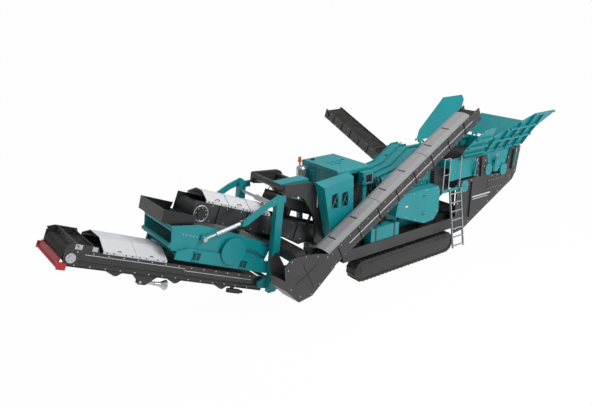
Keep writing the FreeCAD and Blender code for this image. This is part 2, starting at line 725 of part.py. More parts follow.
springs = []
for side_name, side in SIDES:
    for number, (place, low) in enumerate(zip(spring_spots, (1150.3, 1760.3))):
        y = spring_y * side
        springs.append(joined(f"spring_{side_name}_{number}", [
            rod(f"spring_core_{side_name}_{number}", "z", (place, y, low), 70, 2100 - low - 0.3),
            rod(f"spring_seat_{side_name}_{number}", "z", (place, y, low), 110, 60),
        ]))
node("feeder_springs", grouped("feeder_springs", springs))

# Crusher: lower housing, opening hood and the rotor inside it
crusher_half = 740
housing = less("housing_shell", plate("crusher_block", "XZ", [[
    (-650, rail_top), (1450, rail_top), (1450, 2500), (-650, 2500)]], -crusher_half, crusher_half), [
    plate("crusher_hollow", "XZ", [[
        (-560, rail_top - 5), (1360, rail_top - 5), (1360, 2510), (-560, 2510)]],
        -crusher_half + 60, crusher_half - 60)])
extras = []
for side_name, side in SIDES:
    for number in range(4):
        place = -560 + 620 * number
        extras.append(block(f"crusher_rib_{side_name}_{number}", (place, place + 30),
                            span(side, crusher_half, crusher_half + 60), (rail_top, 2500)))
    extras.append(rod(f"crusher_bearing_{side_name}", "y",
                      (400, span(side, crusher_half, crusher_half + 130)[0], 1950), 190, 130))
hood_hinge_x = -700
hood_hinge_z = 2500
for side_name, side in SIDES:
    for tag, inner in (("a", 430), ("b", 546)):
        extras.append(plate(f"hood_ear_{side_name}_{tag}", "XZ", [
            [(-655, 2300), (-655, 2495), (hood_hinge_x + 10, 2538), (hood_hinge_x - 40, 2538),
             (hood_hinge_x - 46, 2460)],
            ("round", hood_hinge_x, hood_hinge_z, pin_bore)], *span(side, inner, inner + s.ear_thickness)))
node("crusher_housing", joined("crusher_housing", [housing] + extras))

rotor = joined("crusher_rotor", [
    rod("rotor_drum", "y", (400, -600, 1950), 430, 1200),
    rod("rotor_shaft", "y", (400, -crusher_half + 60, 1950), 90, 2 * (crusher_half - 60)),
])
node("crusher_rotor", rotor)

hood_outer = [(-650, 2506), (-650, 2800, 120), (350, 3000, 300), (1050, 3450, 200), (1450, 3450, 60),
              (1450, 2506)]
hood_inner = [(-590, 2400), (-590, 2745, 80), (340, 2940, 300), (1030, 3390, 200), (1390, 3390, 20),
              (1390, 2400)]
hood = less("hood_shell", plate("hood_block", "XZ", [hood_outer], -crusher_half, crusher_half), [
    plate("hood_hollow", "XZ", [hood_inner], -crusher_half + 40, crusher_half - 40),
    block("hood_inlet", (1380, 1460), (-crusher_half + 40, crusher_half - 40), (2400, 3200))])
rib_outer = [(-700, 2506), (-700, 2850, 140), (360, 3050, 300), (1060, 3500, 200), (1400, 3500),
             (1400, 2506)]
hood_parts = [hood]
for side_name, side in SIDES:
    hood_parts.append(rod(f"hood_pin_{side_name}", "y",
                          (hood_hinge_x, span(side, 428, 572)[0], hood_hinge_z), s.hinge_pin, 144))
    hood_parts.append(plate(f"hood_lug_{side_name}", "XZ", [[
        (hood_hinge_x - 40, 2470), (hood_hinge_x + 30, 2470), (-656, 2504), (-640, 2508), (-640, 2700),
        (hood_hinge_x, 2640), (hood_hinge_x - 40, 2540)]], *span(side, 458, 542)))
for number in range(5):
    place = -crusher_half + (crusher_half * 2 - 24) * number / 4
    hood_parts.append(less(f"hood_rib_{number}_ring",
                           plate(f"hood_rib_{number}", "XZ", [rib_outer], place, place + 24),
                           [plate(f"hood_rib_{number}_bore", "XZ", [hood_inner],
                                  place - 10, place + 34),
                            block(f"hood_rib_{number}_inlet", (1380, 1460), (place - 10, place + 34),
                                  (2400, 3200))]))
node("crusher_hood", joined("crusher_hood", hood_parts))

# Rotor drive guard and its arm to the crusher
guard_face = 1250
guard = [plate("guard_case", "XZ", [[
    (-450, 2450), (1300, 2450), (1380, 2300), (1380, 1560), (1160, 1330), (710, 1310),
    (-570, 1800)]], -guard_face, -900)]
guard.append(block("guard_arm", (200, 600), (-900, -(crusher_half + 130)), (1700, 2200)))
for number, height in enumerate((1600, 2200)):
    guard.append(block(f"guard_handle_{number}", (620, 820), (-guard_face - 25, -guard_face),
                       (height, height + 40)))
node("drive_guard", joined("drive_guard", guard))

# Fuel tank over the near track, on the chassis deck
tank = plate("fuel_tank", "XZ", [[
    (-1500, s.track_height + 80 + s.seat_gap), (-330, s.track_height + 80 + s.seat_gap), (-330, 1580, 60),
    (-1500, 1580, 60)]], -(s.side_outer - 20 - s.seat_gap), -(rail_outer + 70))
node("fuel_tank", tank)

# Power unit: deck on posts, engine, canopy, far side door, air cleaner
deck = [block("unit_deck_plate", (s.rail_left, -1150), (-940, 1000), (s.deck_top - 60, s.deck_top))]
for side_name, side in SIDES:
    for number, (place, low) in enumerate(((s.rail_left + 60, rail_top + 280 + s.seat_gap),
                                           (size_of(-1500), rail_top + s.seat_gap))):
        deck.append(block(f"unit_post_{side_name}_{number}", (place, place + 140),
                          span(side, s.rail_inner + 20, rail_outer - 20), (low, s.deck_top - 60)))
deck.append(block("cleaner_stand", (-2760, -2680), (660, 740), (s.deck_top, 2850)))
deck.append(rod("beacon_pole", "z", (-2600, 930, s.deck_top), 25, 3400 - s.deck_top))
node("unit_deck", joined("unit_deck", deck))
node("engine_block", plate("engine_block", "XZ", [[
    (-2440, s.deck_top + s.seat_gap), (-1380, s.deck_top + s.seat_gap), (-1380, 2900), (-2440, 2900)]],
    -500, 620))

canopy_low = s.canopy_bottom
canopy = less("canopy_shell", plate("canopy_block", "YZ", [[
    (-s.canopy_near, canopy_low + 300), (-s.canopy_near, s.canopy_top, 60),
    (s.canopy_half, s.canopy_top, 60), (s.canopy_half, canopy_low),
    (-s.canopy_near + 300, canopy_low)]], s.canopy_left, s.canopy_right), [
    block("canopy_hollow", (s.canopy_left + s.canopy_wall, s.canopy_right - s.canopy_wall),
          (-s.canopy_near + s.canopy_wall, s.canopy_half - s.canopy_wall),
          (canopy_low - 10, s.canopy_top - s.canopy_wall)),
    block("canopy_near_gap", (s.canopy_left + 120, s.canopy_right + 10),
          (-s.canopy_near - 10, -s.canopy_near + 200), (canopy_low - 10, s.canopy_top - 160)),
    block("canopy_door_gap", (s.canopy_left + 120, s.canopy_right - 120),
          (s.canopy_half - 100, s.canopy_half + 10), (canopy_low + 100, s.canopy_top - 120)),
    rod("canopy_vent_1", "z", (-1900, -100, s.canopy_top - 60), 45, 100),
    rod("canopy_vent_2", "z", (-1740, 40, s.canopy_top - 60), 45, 100),
    rod("canopy_vent_3", "z", (-1560, 180, s.canopy_top - 60), 60, 100)])
canopy_posts = []
for number, (x, y) in enumerate(((s.canopy_left, s.canopy_half - 60), (s.canopy_right - 60, s.canopy_half - 60),
                                 (s.canopy_left, -s.canopy_near + 330))):
    canopy_posts.append(block(f"canopy_post_{number}", (x, x + 60), (y, y + 60), (s.deck_top, canopy_low)))
for number, low in enumerate((canopy_low + 180, s.canopy_top - 260)):
    for tag, place in (("a", low - 24), ("b", low + 62)):
        canopy_posts.append(less(f"door_ear_{number}_{tag}", block(
            f"door_ear_block_{number}_{tag}", (s.canopy_left + 65, s.canopy_left + 112),
            (s.canopy_half - 1, s.canopy_half + 44), (place, place + 22)), [
            rod(f"door_ear_bore_{number}_{tag}", "z", (s.canopy_left + 90, s.canopy_half + 22, place - 5),
                12 + s.pin_clearance, 32)]))
node("power_canopy", joined("power_canopy", [canopy] + canopy_posts))
door_hinge_x = s.canopy_left + 90
door_hinge_y = s.canopy_half + 22
door = [block("canopy_door_leaf", (s.canopy_left + 126, s.canopy_right - 126),
              (s.canopy_half - s.canopy_wall, s.canopy_half), (canopy_low + 106, s.canopy_top - 126))]
for number, low in enumerate((canopy_low + 180, s.canopy_top - 260)):
    door.append(block(f"door_strap_{number}", (door_hinge_x, s.canopy_left + 260),
                      (s.canopy_half + 2, s.canopy_half + 16), (low, low + 60)))
    door.append(block(f"door_strap_pad_{number}", (s.canopy_left + 132, s.canopy_left + 260),
                      (s.canopy_half - 1, s.canopy_half + 3), (low, low + 60)))
    door.append(rod(f"door_pin_{number}", "z", (door_hinge_x, door_hinge_y, low - 22), 12, 104))
node("canopy_door", joined("canopy_door", door))

cleaner = turned("air_cleaner", [(0, 0), (0, 120), (60, 150), (420, 150), (480, 120), (480, 0)], "z")
node("air_cleaner", cleaner, (-2720, 700, 2850))
node("beacon", joined("beacon", [
    rod("beacon_base", "z", (-2600, 930, 3400), 60, 40),
    rod("beacon_lens", "z", (-2600, 930, 3440), 50, 110)]))

# Near side shroud: bevelled front and top edges, two cut windows, open towards the engine
shroud_face = -1270
shroud_inside = -950
face_loop = [(-3150, 1800), (-2320, 1800), (-2360, 3420), (-3410, 3260)]
back_loop = [(-3120, 1600), (-2300, 1600), (-2300, 3460), (-3480, 3360)]
face_bore = [(-3110, 1840), (-2360, 1840), (-2400, 3370), (-3350, 3215)]
back_bore = [(-3080, 1645), (-2340, 1645), (-2340, 3410), (-3410, 3310)]
shroud = less("shroud_shell", lofted("shroud_block", "XZ", back_loop, face_loop,
                                     shroud_inside, shroud_face), [
    lofted("shroud_hollow", "XZ", back_bore, face_bore, shroud_inside + 5, shroud_face + 40),
    plate("shroud_window_1", "XZ", [[(-3140, 2600), (-2900, 2600), (-2930, 3040), (-3140, 3000)]],
          shroud_face - 20, shroud_face + 60),
    plate("shroud_window_2", "XZ", [[(-2780, 2600), (-2540, 2600), (-2560, 3020), (-2760, 3000)]],
          shroud_face - 20, shroud_face + 60)])
node("side_shroud", joined("side_shroud", [
    shroud,
    block("shroud_foot", (-2880, -2340), (-1262, -940.3), (s.deck_top - 60, s.deck_top)),
]))

# Control cabinet with its door, at the right of the shroud
cabinet_x = (-1750, -1370)
cabinet_z = (2985, 3345)
cabinet_face = -1000
cabinet = less("cabinet_shell", block("cabinet_block", cabinet_x, (cabinet_face, -800), cabinet_z), [
    block("cabinet_hollow", (cabinet_x[0] + 20, cabinet_x[1] - 20), (cabinet_face - 10, -830),
          (cabinet_z[0] + 20, cabinet_z[1] - 20))])
cabinet_hinge_x = cabinet_x[0] - 16
cabinet_hinge_y = cabinet_face - 22
cabinet_parts = [cabinet, block("cabinet_foot", (-1650, -1500), (-900, -800), (s.deck_top, cabinet_z[0]))]
for number, low in enumerate((cabinet_z[0] + 40, cabinet_z[1] - 100)):
    for tag, place in (("a", low - 17), ("b", low + 62)):
        cabinet_parts.append(less(f"cabinet_ear_{number}_{tag}", block(
            f"cabinet_ear_block_{number}_{tag}", (cabinet_x[0] - 32, cabinet_x[0] + 4),
            (cabinet_hinge_y - 16, cabinet_face + 20), (place, place + 15)), [
            rod(f"cabinet_ear_bore_{number}_{tag}", "z", (cabinet_hinge_x, cabinet_hinge_y, place - 5),
                8 + s.pin_clearance, 25)]))
node("control_cabinet", joined("control_cabinet", cabinet_parts))
leaf_y = (cabinet_face - 36, cabinet_face - 6)
leaf_x = (cabinet_x[0] + 10, cabinet_x[1])
leaf = [less("cabinet_leaf", block("cabinet_leaf_block", leaf_x, leaf_y, cabinet_z), [
    block("cabinet_window", (leaf_x[0] + 70, leaf_x[1] - 70), (leaf_y[0] - 5, leaf_y[1] + 5),
          (cabinet_z[0] + 70, cabinet_z[1] - 70))])]
for number, low in enumerate((cabinet_z[0] + 40, cabinet_z[1] - 100)):
    leaf.append(block(f"cabinet_strap_{number}", (cabinet_hinge_x, leaf_x[0] + 5),
                      (cabinet_hinge_y - 8, cabinet_hinge_y + 8), (low, low + 60)))
    leaf.append(rod(f"cabinet_pin_{number}", "z", (cabinet_hinge_x, cabinet_hinge_y, low - 15), 8, 90))
node("cabinet_door", joined("cabinet_door", leaf))

# Product conveyor. Drawn along its slope: x down the belt from the head axis, z out of the belt
product_turn = (("y", s.product_slope),)
product_base = (s.product_x, 0, s.product_z)


def band_wire(points, radius):
    """A closed line at one distance all round a path of points in the xz plane."""
    count = len(points)
    along = [(points[i + 1] - points[i]).normalize() for i in range(count - 1)]
    up = [Vec(-step.z, 0, step.x) for step in along]
    sides = [points[0] + up[0] * radius]
    for i in range(1, count - 1):
        middle = (up[i - 1] + up[i]).normalize()
        sides.append(points[i] + middle * (radius / middle.dot(up[i])))
    sides.append(points[-1] + up[-1] * radius)
    under = [points[0] - up[0] * radius]
    for i in range(1, count - 1):
        middle = (up[i - 1] + up[i]).normalize()
        under.append(points[i] - middle * (radius / middle.dot(up[i])))
    under.append(points[-1] - up[-1] * radius)
    edges = [Part.makeLine(sides[i], sides[i + 1]) for i in range(count - 1)]
    edges.append(Part.Arc(sides[-1], points[-1] + along[-1] * radius, under[-1]).toShape())
    edges += [Part.makeLine(under[i], under[i - 1]) for i in range(count - 1, 0, -1)]
    edges.append(Part.Arc(under[0], points[0] - along[0] * radius, sides[0]).toShape())
    return Part.Wire(edges)


def band(points, radius, thickness, half):
    """A belt round the ends of a path of (x, z) points, as one closed band."""
    near = -size_of(half).value
    path = [Vec(size_of(x).value, near, size_of(z).value) for x, z in points]
    inner = band_wire(path, size_of(radius).value)
    outer = band_wire(path, size_of(radius + thickness).value)
    face = Part.makeFace([outer, inner], "Part::FaceMakerBullseye")
    return face.extrude(Vec(0, -2 * near, 0))


def conveyor_frame(label, half, left, right, low, high, sheet_wall, rollers, drum):
    """Two side plates with return flanges, joined by idlers under the belt."""
    parts = []
    for side_name, side in SIDES:
        parts.append(block(f"{label}_{side_name}", (left, right),
                           span(side, half - sheet_wall, half), (low, high)))
        parts.append(block(f"{label}_{side_name}_lip", (left, right),
                           span(side, half - 3 * sheet_wall, half), (low, low + sheet_wall)))
    for number, place in enumerate(rollers):
        parts.append(rod(f"{label}_idler_{number}", "y",
                         (place, -(half - sheet_wall), drum - 45 - s.seat_gap), 45,
                         2 * (half - sheet_wall)))
    return parts


bend = s.product_length
flat_end_x = bend + s.product_flat * cosine(s.product_slope)
flat_end_z = s.product_flat * sine(s.product_slope)
product_belt = fixed("product_belt", band([(0, 0), (bend, 0), (flat_end_x, flat_end_z)],
                                          s.product_drum, s.belt_thickness, s.product_half - 60))
node("product_belt", product_belt, product_base, product_turn)
frame_parts = conveyor_frame("product_frame", s.product_half, -230, bend + 60, -200, 300, s.plate_thin,
                             [700 + 900 * n for n in range(6)], s.product_drum)
for side_name, side in SIDES:
    frame_parts.append(plate(f"product_flat_{side_name}", "XZ", [[
        (bend + 60, -200), (bend + 60, 300),
        (flat_end_x - 40, flat_end_z + 260), (flat_end_x + 160, flat_end_z - 180)]],
        *span(side, s.product_half - s.plate_thin, s.product_half)))
for name, x, z in (("head", 0, 0), ("tail", flat_end_x, flat_end_z)):
    frame_parts.append(rod(f"product_{name}_drum", "y", (x, -(s.product_half - s.plate_thin), z),
                           s.product_drum - s.seat_gap, 2 * (s.product_half - s.plate_thin)))
# Carrier tubes between the chassis rails
for number, (x, z) in enumerate(((4200, -120), (5770, 120))):
    frame_parts.append(rod(f"product_carrier_{number}", "y", (x, -(s.rail_inner - s.seat_gap), z), 40,
                           2 * (s.rail_inner - s.seat_gap)))
node("product_frame", joined("product_frame", frame_parts), product_base, product_turn)


def hood_cover(label, half, left, right, low, rise, flat_half, wall):
    """A tent shaped dust cover over the belt."""
    outer = [(-half, low), (half, low), (half, low + 60), (flat_half, low + rise),
             (-flat_half, low + rise), (-half, low + 60)]
    inner = [(-half + wall, low - 1), (half - wall, low - 1), (half - wall, low + 60 - wall * 0.4),
             (flat_half - wall * 0.4, low + rise - wall), (-flat_half + wall * 0.4, low + rise - wall),
             (-half + wall, low + 60 - wall * 0.4)]
    return less(label, plate(label + "_block", "YZ", [outer], left, right),
                [plate(label + "_hollow", "YZ", [inner], left - 1, right + 1)])


covers = []
for number in range(3):
    left = 60 + number * 700
    covers.append(hood_cover(f"product_cover_{number}", s.product_half, left, left + 690, 300, 230,
                             150, 12))
node("product_covers", grouped("product_covers", covers), product_base, product_turn)

# Magnet above the product belt: body, two drums and its own belt
magnet_centre = 3050
magnet_lift = 720
magnet_belt = fixed("magnet_belt", band([(magnet_centre - 520, magnet_lift), (magnet_centre + 520, magnet_lift)],
                                        size_of(130), size_of(12), size_of(420)))
node("magnet_belt", magnet_belt, product_base, product_turn)
magnet_parts = [block("magnet_core", (magnet_centre - 360, magnet_centre + 360), (-420, 420),
                      (magnet_lift - 110, magnet_lift + 110))]
for side_name, side in SIDES:
    magnet_parts.append(block(f"magnet_side_{side_name}", (magnet_centre - 620, magnet_centre + 620),
                              span(side, 420, 450), (magnet_lift - 60, magnet_lift + 200)))
for side_name, side in SIDES:
    for number, place in enumerate((-560, 500)):
        magnet_parts.append(block(f"magnet_leg_{side_name}_{number}", (magnet_centre + place, magnet_centre + place + 60),
                                  span(side, 445, s.product_half), (300.3, magnet_lift + 100)))
for number, place in enumerate((-520, 520)):
    magnet_parts.append(rod(f"magnet_drum_{number}", "y", (magnet_centre + place, -430, magnet_lift), 129.7, 860))
magnet_parts.append(block("magnet_top", (magnet_centre - 200, magnet_centre + 200), (-440, 440),
                          (magnet_lift + 160, magnet_lift + 200)))
node("magnet", joined("magnet", magnet_parts), product_base, product_turn)

# Arches: two curved plates from the chassis nose, with a cross tube and a small cover on top
arch_foot = rail_top + 280
arch_loop = [(-3330, arch_foot), (-3110, arch_foot), (-3180, 2300, 900), (-3420, 3330, 200),
             (-4410, 3420, 60), (-4460, 3100, 60), (-3830, 2990, 300), (-3400, 2250, 500)]
arches = []
for side_name, side in SIDES:
    arches.append(plate(f"arch_{side_name}", "XZ", [arch_loop],
                        *span(side, s.arch_inner - 60, s.arch_inner + s.arch_plate - 60)))
arches.append(rod("arch_tube_left", "y", (-4360, -s.arch_inner, 3300), 90, 2 * s.arch_inner))
arches.append(rod("arch_tube_right", "y", (-3560, -s.arch_inner, 3200), 60, 2 * s.arch_inner))
arches.append(block("arch_box", (-4420, -3480), (-640, -250), (3250, 3400)))
node("arch_frame", joined("arch_frame", arches))

# Posts that hang the screen from the arches, with the cross cylinder between them
posts = []
half = s.post_size / 2
for side_name, side in SIDES:
    posts.append(plate(f"post_{side_name}", "XZ", [[
        (-5140, 520), (-4900, 520), (-4580, 3120), (-4680, 3240), (-4800, 3120)]],
        *span(side, s.post_half - half, s.post_half + half)))
    posts.append(block(f"transfer_seat_{side_name}", (-4820, s.transfer_x - s.transfer_half - s.seat_gap),
                       span(side, s.post_half - half, s.post_half + half), (1560, 1740)))
    posts.append(block(f"post_arm_{side_name}", (-4800, -4440),
                       span(side, s.arch_inner + s.arch_plate - 60, s.post_half - half + 60),
                       (2980, 3160)))
posts.append(rod("post_tube", "y", (-4890, -s.post_half, 720), 60, 2 * s.post_half))
for side_name, side in SIDES:
    posts.append(plate(f"fines_ear_{side_name}", "XZ", [
        [(s.fines_tail_x - 70, s.fines_tail_z - 75), (-5000, 560), (-4980, 980),
         (s.fines_tail_x - 70, s.fines_tail_z + 75)],
        ("round", s.fines_tail_x, s.fines_tail_z, pin_bore)],
        *span(side, s.fines_half + 40, s.post_half - half + 20)))
    posts.append(plate(f"screen_hanger_{side_name}", "XZ", [[
        (-4620, 3180), (-4700, 3240), (-5100, 3120, 300), (-5850, 2780), (-5900, 2640), (-5760, 2640),
        (-5080, 2960, 200), (-4760, 3040)]],
        *span(side, s.post_half + 20, s.post_half + half)))
# Arm for the return conveyor's upright pivot, two plates off the near post
for number, low in enumerate((s.pivot_low - 37, s.pivot_low + 102)):
    posts.append(plate(f"pivot_arm_{number}", "XY", [
        [(-5080, -1000), (-4880, -1000), (-4900, -1080), (s.pivot_x + 60, s.pivot_y - 40),
         (s.pivot_x - 60, s.pivot_y - 40), (s.pivot_x - 60, s.pivot_y + 60)],
        ("round", s.pivot_x, s.pivot_y, pin_bore)], low, low + 35))
node("post_frame", joined("post_frame", posts))
cylinder_x = -4720
node("cross_cylinder", joined("cross_cylinder", [
    rod("cylinder_barrel", "y", (cylinder_x, -(s.post_half - half) + s.seat_gap, 2900), 75, 1000),
    rod("cylinder_rod", "y", (cylinder_x, -(s.post_half - half) + s.seat_gap, 2900), 40,
        2 * (s.post_half - half - s.seat_gap))]))

# Two rams that hold the screen off the hangers
rams = []
for side_name, side in SIDES:
    centre = (s.screen_half + 115) * side
    rams.append(joined(f"ram_{side_name}", [
        rod(f"ram_barrel_{side_name}", "x", (340, centre, 0), 55, 700),
        rod(f"ram_rod_{side_name}", "x", (0, centre, 0), 30, 1130),
        rod(f"ram_eye_low_{side_name}", "y", (0, centre - 54.7, 0), 60, 109.4),
        rod(f"ram_eye_high_{side_name}", "y", (1120, centre - 54.7, 0), 60, 109.4)]))
node("screen_rams", grouped("screen_rams", rams), (-6930, 0, 2510), (("y", -9.3),))

# Post screen: subframe rails, box with exciter guard, cross tubes, deck
screen_base = (s.screen_x, 0, s.screen_z)
screen_turn = (("y", s.screen_slope),)
subframe = []
for side_name, side in SIDES:
    subframe.append(plate(f"subframe_{side_name}", "XZ", [[
        (0, 0), (s.screen_length, 0), (s.screen_length, 330), (300, 330), (0, 200)]],
        *span(side, s.screen_half, s.screen_half + 60)))
for number, place in enumerate((150, 1500, 2700)):
    subframe.append(rod(f"subframe_tube_{number}", "y", (place, -s.screen_half - 30, 60), 50,
                        2 * s.screen_half + 60))
node("screen_subframe", joined("screen_subframe", subframe), screen_base, screen_turn)

box_wall = 20
screen_parts = []
for side_name, side in SIDES:
    screen_parts.append(plate(f"screen_plate_{side_name}", "XZ", [[
        (-140, 200), (2700, 200), (2800, 700), (1700, 900), (1100, 940), (410, 940),
        (-300, 795)]], *span(side, s.screen_half - box_wall, s.screen_half)))
    screen_parts.append(rod(f"screen_exciter_{side_name}", "y",
                            (1600, span(side, s.screen_half + 62, s.screen_half + 110)[0], 446), 360, 48))
    screen_parts.append(rod(f"screen_hub_{side_name}", "y",
                            (1600, span(side, s.screen_half - 5, s.screen_half + 65)[0], 560), 100, 70))
# Cross tubes: x, z, radius
for number, (x, z, radius) in enumerate(((-180, 300, 60), (-220, 700, 60), (900, 330, 60),
                                         (1600, 560, 110), (2400, 330, 60))):
    screen_parts.append(rod(f"screen_tube_{number}", "y", (x, -s.screen_half + 5, z), radius,
                            2 * s.screen_half - 10))
screen_parts.append(block("screen_deck", (-100, 2700), (-s.screen_half + box_wall, s.screen_half - box_wall),
                          (760, 799.7)))
for side_name, side in SIDES:
    screen_parts.append(block(f"ram_clevis_{side_name}", (550, 690),
                              span(side, s.screen_half - 5, s.screen_half + 60), (570, 710)))
node("screen_box", joined("screen_box", screen_parts), screen_base, screen_turn)

# Feed box over the screen's upper end
feed_half = 680
feed_outer = [(-520, 800), (300, 800), (360, 1130), (-560, 1130)]
feed_parts = []
for side_name, side in SIDES:
    feed_parts.append(plate(f"feed_box_{side_name}", "XZ", [feed_outer],
                            *span(side, feed_half - 20, feed_half)))
feed_parts.append(plate("feed_box_back", "XZ", [[(-540, 800), (-520, 800), (-560, 1130), (-580, 1130)]],
                        -feed_half, feed_half))
node("feed_box", joined("feed_box", feed_parts), screen_base, screen_turn)

# Fines conveyor, in its own slope frame
fines_x = s.fines_tail_x - s.fines_length * cosine(s.fines_slope)
fines_z = s.fines_tail_z + s.fines_length * sine(s.fines_slope)
fines_base = (fines_x, 0, fines_z)
fines_turn = (("y", s.fines_slope),)
node("fines_belt", fixed("fines_belt", band([(0, 0), (s.fines_length, 0)], s.fines_drum,
                                            s.belt_thickness, s.fines_half - 60)),
     fines_base, fines_turn)
fines_parts = conveyor_frame("fines_frame", s.fines_half, -150, s.fines_length + 180, -190, 200,
                             s.plate_thin, [s.fines_length * ((n + 0.67) / 5.83) for n in range(6)],
                             s.fines_drum)
for name, place in (("head", size_of(0)), ("tail", s.fines_length)):
    fines_parts.append(rod(f"fines_{name}_drum", "y", (place, -(s.fines_half - s.plate_thin), 0),
                           s.fines_drum - s.seat_gap, 2 * (s.fines_half - s.plate_thin)))
jack_x = (s.jack_at - fines_x) * cosine(s.fines_slope) - (s.jack_height - fines_z) * sine(s.fines_slope)
jack_z = (s.jack_at - fines_x) * sine(s.fines_slope) + (s.jack_height - fines_z) * cosine(s.fines_slope)
for side_name, side in SIDES:
    fines_parts.append(rod(f"fines_pin_{side_name}", "y",
                           (s.fines_length, span(side, s.fines_half - 5, s.post_half - half + 20)[0], 0),
                           s.hinge_pin, s.post_half - half + 25 - s.fines_half))
    # Ears for the folding leg, and gussets under the frame
    for tag, inner in (("a", s.fines_half - s.plate_thin), ("b", s.fines_half - s.plate_thin - 105)):
        fines_parts.append(plate(f"jack_ear_{side_name}_{tag}", "XZ", [
            [(jack_x - 260, -180), (jack_x + 420, -180), (jack_x + 150, jack_z - 60),
             (jack_x - 60, jack_z - 60), (jack_x - 70, jack_z + 20)],
            ("round", jack_x, jack_z, pin_bore)], *span(side, inner, inner + s.plate_thin)))
    for number, place in enumerate((850, 2450, 3850)):
        fines_parts.append(plate(f"fines_gusset_{side_name}_{number}", "XZ", [[
            (place, -185), (place + 460, -185), (place + 330, -290), (place + 250, -290)]],
            *span(side, s.fines_half - s.plate_thin, s.fines_half)))
fines_parts.append(block("fines_jack_beam", (jack_x - 250, jack_x - 150),
                         (-(s.fines_half - 10), s.fines_half - 10), (-190, -170)))
node("fines_frame", joined("fines_frame", fines_parts), fines_base, fines_turn)

# Folding legs under the fines conveyor, each with a flared foot
leg_y = s.fines_half - s.plate_thin - 42.5
for_legs = []
for side_name, side in SIDES:
    for_legs.append(rod(f"leg_pin_{side_name}", "y",
                        (0, span(side, leg_y - 62.5, leg_y + 62.5)[0], 0), s.hinge_pin, 125))
    for_legs.append(block(f"leg_tube_{side_name}", (0, 420), span(side, leg_y - 35, leg_y + 35), (-35, 35)))
    for_legs.append(turned(f"leg_foot_{side_name}", [(400, 0), (400, 50), (560, 60), (700, 130), (720, 130), (720, 0)], "x"))
legs = []
for number, (side_name, side) in enumerate(SIDES):
    pin_rod, tube, foot = for_legs[3 * number:3 * number + 3]
    shift(foot, 0, leg_y * side, 0)
    legs.append(joined(f"leg_{side_name}", [pin_rod, tube, foot]))
legs.append(block("leg_tie", (330, 380), (-(leg_y - 35), leg_y - 35), (-25, 25)))
node("jack_legs", joined("jack_legs", legs), (s.jack_at, 0, s.jack_height), (("y", s.jack_rest),))

# Head of the fines conveyor: cheek plates, spray bar and belt scraper
head_parts = []
for side_name, side in SIDES:
    head_parts.append(plate(f"fines_cheek_{side_name}", "XZ", [[
        (-120, 200.3), (620, 200.3), (560, 330), (20, 330), (-160, 260)]],
        *span(side, s.fines_half - s.plate_thin, s.fines_half)))
head_parts.append(rod("fines_spray_bar", "y", (100, -(s.fines_half - 10), 290), 28, 2 * (s.fines_half - 10)))
head_parts.append(rod("fines_cheek_tube", "y", (500, -(s.fines_half - 10), 290), 20, 2 * (s.fines_half - 10)))
node("fines_head", joined("fines_head", head_parts), fines_base, fines_turn)
node("belt_scraper", joined("belt_scraper", [
    plate("scraper_blade", "XZ", [[(-215, -60), (-185, -60), (-200, -250), (-240, -250)]], -680, 680),
    rod("scraper_bar", "y", (-235, -(s.fines_half + 40), -240), 32, 2 * (s.fines_half + 40)),
    block("scraper_arm_left", (-260, -60), (s.fines_half + 0.3, s.fines_half + 40), (-290, -120)),
    block("scraper_arm_right", (-260, -60), (-(s.fines_half + 40), -(s.fines_half + 0.3)), (-290, -120)),
]), fines_base, fines_turn)
node("lamp_bar", joined("lamp_bar", [
    block("lamp_bar_body", (4350, 4760), (-(s.fines_half + 20), -(s.fines_half - 60)), (-360, -250)),
    rod("lamp_bar_end", "x", (4750, -(s.fines_half - 20), -305), 42, 90),
    block("lamp_bar_foot", (4450, 4550), (-(s.fines_half - 22), -(s.fines_half - 60)), (-250, -190.3)),
]), fines_base, fines_turn)
fines_covers = []
for number in range(2):
    left = 700 + number * 830
    fines_covers.append(hood_cover(f"fines_cover_{number}", s.fines_half, left, left + 820, 200, 260,
                                   300, 12))
node("fines_covers", grouped("fines_covers", fines_covers), fines_base, fines_turn)

# Return conveyor on the near side
return_base = (s.return_x, s.return_y, s.return_z)
return_turn = (("z", s.return_yaw), ("y", -s.return_slope))
return_axis = -s.return_deep / 2
node("return_belt", fixed("return_belt", band([(s.return_tail, return_axis), (s.return_head, return_axis)],
                                              s.return_drum, s.belt_thickness, s.return_half - 50)),
     return_base, return_turn)
return_parts = []
for side_name, side in SIDES:
    return_parts.append(block(f"return_side_{side_name}", (s.return_tail - 200, s.return_head + 180),
                              span(side, s.return_half - s.plate_thin, s.return_half),
                              (-s.return_deep, 0)))
    return_parts.append(block(f"return_lip_{side_name}", (s.return_tail - 200, s.return_head + 180),
                              span(side, s.return_half - 60, s.return_half),
                              (-s.return_deep, -s.return_deep + s.plate_thin)))
for number in range(8):
    place = s.return_tail + 700 + 950 * number
    return_parts.append(rod(f"return_idler_{number}", "y",
                            (place, -(s.return_half - s.plate_thin), return_axis + s.return_drum - 45 - s.seat_gap),
                            45, 2 * (s.return_half - s.plate_thin)))
for name, place in (("head", s.return_head), ("tail", s.return_tail)):
    return_parts.append(rod(f"return_{name}_drum", "y", (place, -(s.return_half - s.plate_thin), return_axis),
                            s.return_drum - s.seat_gap, 2 * (s.return_half - s.plate_thin)))
node("return_frame", joined("return_frame", return_parts), return_base, return_turn)
return_covers = []
for number in range(3):
    left = 150 + number * 2230
    return_covers.append(hood_cover(f"return_cover_{number}", s.return_half - 20, left, left + 2215, 0, 110,
                                    130, 10))
node("return_covers", grouped("return_covers", return_covers), return_base, return_turn)
box_outline = [(-1290, -430), (-850, -600), (150, -440), (150, 40), (-90, 270), (-470, 580),
               (-950, 840), (-1200, 780), (-1460, 150)]
box_inside = [(-1260, -480), (-850, -700), (250, -540), (250, 20), (-90, 270), (-470, 900),
              (-950, 1000), (-1200, 900), (-1430, 160)]
